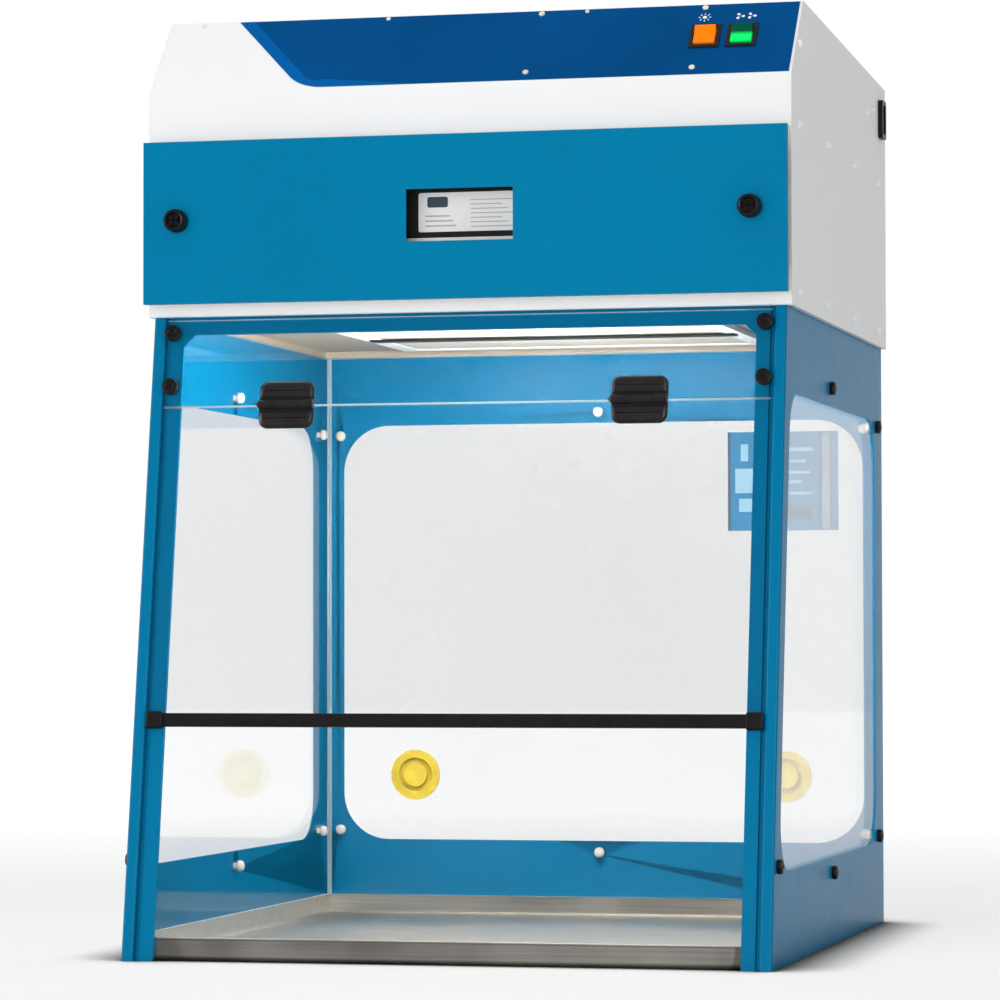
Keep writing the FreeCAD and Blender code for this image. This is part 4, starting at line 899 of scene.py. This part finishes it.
class HOOD_OT_card(Operator):
    """Print the information card with plain fields and no words"""
    bl_idname = "hood.card"
    bl_label = "Information card"

    def execute(self, context):
        softened("information_card", "card", "cabinet", 0.15 * MM, 2)
        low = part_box("information_card")[0]

        def lay(x, z, proud):
            return low + Vector((x, -proud, z)) * MM

        light = ((14, 22, 74, 92), (8, 30, 40, 66), (12, 36, 20, 34), (44, 92, 84, 88), (44, 84, 72, 75),
                 (44, 88, 60, 63), (44, 80, 50, 53), (44, 90, 38, 41))
        dark = ((98, 101, 0, 105), (110, 111.5, 0, 105), (50, 90, 12, 26), (0, 3, 0, 105))
        pale = ((101.2, 109.5, 2, 103),)
        shape = bmesh.new()
        plates(shape, light, lay, 0.08, 0)
        plates(shape, dark, lay, 0.1, 1)
        plates(shape, pale, lay, 0.1, 2)
        closed_piece("card_printing", shape, ("card_light", "card_dark", "card_pale"), "cabinet")
        return {"FINISHED"}


class HOOD_OT_filter_label(Operator):
    """Stick the plain label on the filter case, behind the door's window"""
    bl_idname = "hood.filter_label"
    bl_label = "Filter label"

    def execute(self, context):
        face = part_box("filter_case")[0].y

        def lay(x, z, proud):
            return Vector((x * MM, face - proud * MM, z * MM))

        right_rows = [(4, 46 - (row % 3) * 6, 684 + row * 4.2, 684 + row * 4.2 + 0.9) for row in range(7)]
        left_rows = [(-40, -10 - row * 3, 685 + row * 4.6, 685 + row * 4.6 + 1.4) for row in range(3)]
        shape = bmesh.new()
        prism(shape, rounded(rectangle(-46.5, 51, 680, 717), [2, 2, 2, 2], 4), lay, 0.15, 0)
        plates(shape, right_rows + left_rows, lay, 0.2, 1)
        prism(shape, rounded(rectangle(-38, -18, 703, 713), [2, 2, 2, 2], 4), lay, 0.2, 2)
        plates(shape, ((-62, 62, 670, 674.5),), lay, 0.4, 0)
        closed_piece("filter_label", shape, ("label_white", "label_grey", "card_dark"), "cabinet")
        return {"FINISHED"}


class HOOD_OT_power_inlet(Operator):
    """Finish the appliance inlet on the right side of the head"""
    bl_idname = "hood.power_inlet"
    bl_label = "Power inlet"

    def execute(self, context):
        softened("power_inlet", "black_plastic", "cabinet", MOULDED_EDGE, 3)
        return {"FINISHED"}


class HOOD_OT_stage(Operator):
    """Set the pale floor, the soft lights, the white surround and the camera"""
    bl_idname = "hood.stage"
    bl_label = "Stage"

    def execute(self, context):
        scene = context.scene
        scene.view_settings.view_transform = "Standard"
        surround(scene)
        ground = floor()
        soft_light("key_softbox", (-0.8, -3.4, 0.7), (0, -0.1, 0.5), 2.0, 32.0)
        soft_light("top_softbox", (-0.4, -0.6, 3.0), (0, 0, 0.4), 2.2, 18.0)
        soft_light("low_softbox", (0.1, -3.0, 0.45), (0, 0, 0.5), 0.9, 14.0)
        side = soft_light("side_softbox", (2.6, -1.6, 0.7), (0.3, 0, 0.6), 1.0, 4.5)
        strip_light("right_strip", (2.2, -2.3, 0.6), 0.4, 1.6, 110.0)
        strip_light("left_strip", (-3.0, -1.1, 0.6), 0.4, 1.6, 110.0)
        beam = soft_light("lamp_beam", (0, -0.216, 0.5995), (0, 0.34, 0.54), 0.42, 5.0, 0.03)
        chamber = chamber_light((0, -0.02, 0.47), 0.12, 7.0)
        for lamp in (side, beam, chamber):
            spare(lamp, ground)
        camera(scene)
        return {"FINISHED"}


# ---------------- studio

def surround(scene):
    """White to the camera and through clear sheets, darker in front to mirrors, and a softer level for light."""
    world = bpy.data.worlds.new("studio")
    scene.world = world
    world.use_nodes = True
    tree = world.node_tree
    tree.nodes.clear()

    def background(colour, strength):
        return wire(tree, "ShaderNodeBackground", {"Color": colour, "Strength": strength}).outputs[0]

    def mix(share, first, second):
        return wire(tree, "ShaderNodeMixShader", {0: share, 1: first, 2: second}).outputs[0]

    path = wire(tree, "ShaderNodeLightPath", {}).outputs
    seen = wire(tree, "ShaderNodeMath", {0: path["Is Camera Ray"], 1: path["Is Transmission Ray"]},
                operation="MAXIMUM").outputs[0]
    way = wire(tree, "ShaderNodeTexCoord", {}).outputs["Generated"]
    dark_front = wire(tree, "ShaderNodeMapRange",
                      {"Value": wire(tree, "ShaderNodeSeparateXYZ", {0: way}).outputs["Y"],
                       "From Min": -0.75, "From Max": -0.2, "To Min": 0.02, "To Max": 0.95}).outputs["Result"]
    mirror = background((1, 1, 1, 1), dark_front)
    soft = background((0.98, 0.99, 1, 1), 0.55)
    white = background((1, 1, 1, 1), 1.0)
    unseen = mix(path["Is Glossy Ray"], soft, mirror)
    wire(tree, "ShaderNodeOutputWorld", {"Surface": mix(seen, unseen, white)})


def floor():
    """A wide pale floor that reads white and takes the shadow, with a painted contact shadow that darkens it in a
    line under what stands on it; to mirrors it shows darker in front of the hood.
    """
    paint = Finish("studio_floor", (0.8, 0.8, 0.8, 1), 0.7)
    where = paint.place()
    # Ambient occlusion paints a contact shadow: the floor's colour and glow go dark near what stands on it
    corner = paint.node("AmbientOcclusion", {"Distance": 0.10}, samples=16).outputs["AO"]
    open_sky = paint.spread(corner, 0.50, 0.90, 0.0, 1.0)
    clouds = paint.mottle(paint.noise(where, 3.0), (0.35, 0.35, 0.35, 1), (0.37, 0.37, 0.37, 1))
    path = paint.node("LightPath", {}).outputs
    in_front = paint.spread(paint.split(where)[1], -0.40, -0.15, 0.9, 0.0)
    mirrored = paint.math("SUBTRACT", 1.0, paint.math("MULTIPLY", path["Is Glossy Ray"], in_front))
    level = paint.math("MULTIPLY", open_sky, mirrored)
    seen = paint.math("MAXIMUM", path["Is Camera Ray"], path["Is Transmission Ray"])
    seen = paint.math("MAXIMUM", seen, path["Is Glossy Ray"])
    white = paint.blend(seen, (0.86, 0.86, 0.86, 1), clouds)
    # The painted contact shadow turns the floor's colour towards near black
    paint.colour(paint.blend(level, (0.03, 0.027, 0.025, 1), white))
    paint.shine(0.0)
    away = paint.node("VectorMath", {0: where}, operation="LENGTH").outputs["Value"]
    lift = paint.math("MULTIPLY", level, paint.spread(away, 1.0, 3.2, 0.61, 0.86))
    glow = paint.node("Emission", {"Color": (1, 1, 1, 1), "Strength": paint.math("MULTIPLY", lift, seen)})
    both = paint.node("AddShader", {0: paint.shader.outputs[0], 1: glow.outputs[0]})
    feed(paint.tree, paint.output.inputs["Surface"], both.outputs[0])
    mesh = bpy.data.meshes.new("studio_floor")
    reach = 14.0
    mesh.from_pydata([(x, y, 0) for x, y in rectangle(-reach, reach, -reach, reach)], [], [(0, 1, 2, 3)])
    mesh.materials.append(paint.material)
    ground = linked("studio_floor", mesh)
    return ground


def spare(lamp, ground):
    """Keeps a lamp's light off the floor, so that the floor stays an even white."""
    kept_off = bpy.data.collections.new(lamp.name + "_receivers")
    kept_off.objects.link(ground)
    kept_off.collection_objects[0].light_linking.link_state = "EXCLUDE"
    lamp.light_linking.receiver_collection = kept_off


def hung(name, lamp, place):
    """A lamp at a place, which neither the camera nor mirrors nor clear sheets show."""
    holder = linked(name, lamp)
    return apply(holder, location=place, visible_glossy=False, visible_camera=False, visible_transmission=False)


def soft_light(name, place, aim, width, power, height=None):
    """An area lamp that lights the object from afar."""
    lamp = apply(bpy.data.lights.new(name, "AREA"), shape="RECTANGLE", size=width, size_y=height or width,
                 energy=power)
    holder = hung(name, lamp, place)
    holder.rotation_euler = (Vector(aim) - Vector(place)).to_track_quat("-Z", "Y").to_euler()
    return holder


def strip_light(name, place, width, height, power):
    """A tall narrow lamp that only draws a bright line along the rounded folds."""
    apply(soft_light(name, place, (0, 0, place[2]), width, power, height), visible_glossy=True,
          visible_diffuse=False)


def chamber_light(place, radius, power):
    """What the hood's own lamp spreads through the work chamber after it has bounced about."""
    lamp = apply(bpy.data.lights.new("chamber_light", "POINT"), shadow_soft_size=radius, energy=power,
                 color=(1.0, 0.98, 0.94))
    return hung("chamber_light", lamp, place)


def camera(scene):
    """The photograph's point of view."""
    yaw, pitch, roll = 0.2350, 0.0348, -0.0017
    ahead = Vector((-math.sin(yaw) * math.cos(pitch), math.cos(yaw) * math.cos(pitch), math.sin(pitch)))
    right = Vector((math.cos(yaw), math.sin(yaw), 0))
    up = right.cross(ahead)
    right, up = (right * math.cos(roll) + up * math.sin(roll), -right * math.sin(roll) + up * math.cos(roll))
    lens = apply(bpy.data.cameras.new("view"), lens=150.2, sensor_width=36, sensor_fit="HORIZONTAL", clip_start=0.1,
                 clip_end=60)
    turn = Matrix((right, up, -ahead)).transposed()
    scene.camera = linked("view", lens)
    scene.camera.matrix_world = Matrix.Translation((0.938971, -4.034034, 0.291665)) @ turn.to_4x4()


# ---------------- add-on

class HOOD_PT_dressing(Panel):
    """Shows the colours, sizes and steps of the fume hood's dressing"""
    bl_idname = "HOOD_PT_dressing"
    bl_label = "Fume Hood"
    bl_space_type = "VIEW_3D"
    bl_region_type = "UI"
    bl_category = "Fume Hood"

    def draw(self, context):
        column = self.layout.column()
        for group in (context.scene.hood_colours, context.scene.hood_sizes):
            for name in group.__annotations__:
                column.prop(group, name)
        for step in STEPS:
            column.operator(step.bl_idname)


STEPS = (HOOD_OT_finishes, HOOD_OT_stage, HOOD_OT_sheet_metal, HOOD_OT_pre_filter_shade_strip, HOOD_OT_sash_fittings,
         HOOD_OT_sash_knobs, HOOD_OT_panel_screws, HOOD_OT_door_knobs, HOOD_OT_head_screws, HOOD_OT_ports,
         HOOD_OT_controls, HOOD_OT_card, HOOD_OT_filter_label, HOOD_OT_power_inlet)
CLASSES = (HoodColours, HoodSizes) + STEPS + (HOOD_PT_dressing,)


def register():
    for made in CLASSES:
        bpy.utils.register_class(made)
    bpy.types.Scene.hood_colours = PointerProperty(type=HoodColours)
    bpy.types.Scene.hood_sizes = PointerProperty(type=HoodSizes)


def unregister():
    del bpy.types.Scene.hood_sizes
    del bpy.types.Scene.hood_colours
    for made in reversed(CLASSES):
        bpy.utils.unregister_class(made)


def main():
    register()
    bpy.ops.hood.finishes()
    bpy.ops.hood.stage()
    bpy.ops.hood.sheet_metal()
    bpy.ops.hood.pre_filter_bar()
    bpy.ops.hood.sash_fittings()
    bpy.ops.hood.sash_knobs()
    bpy.ops.hood.panel_screws()
    bpy.ops.hood.door_knobs()
    bpy.ops.hood.head_screws()
    bpy.ops.hood.ports()
    bpy.ops.hood.controls()
    bpy.ops.hood.card()
    bpy.ops.hood.filter_label()
    bpy.ops.hood.power_inlet()


if __name__ == "__main__":
    main()
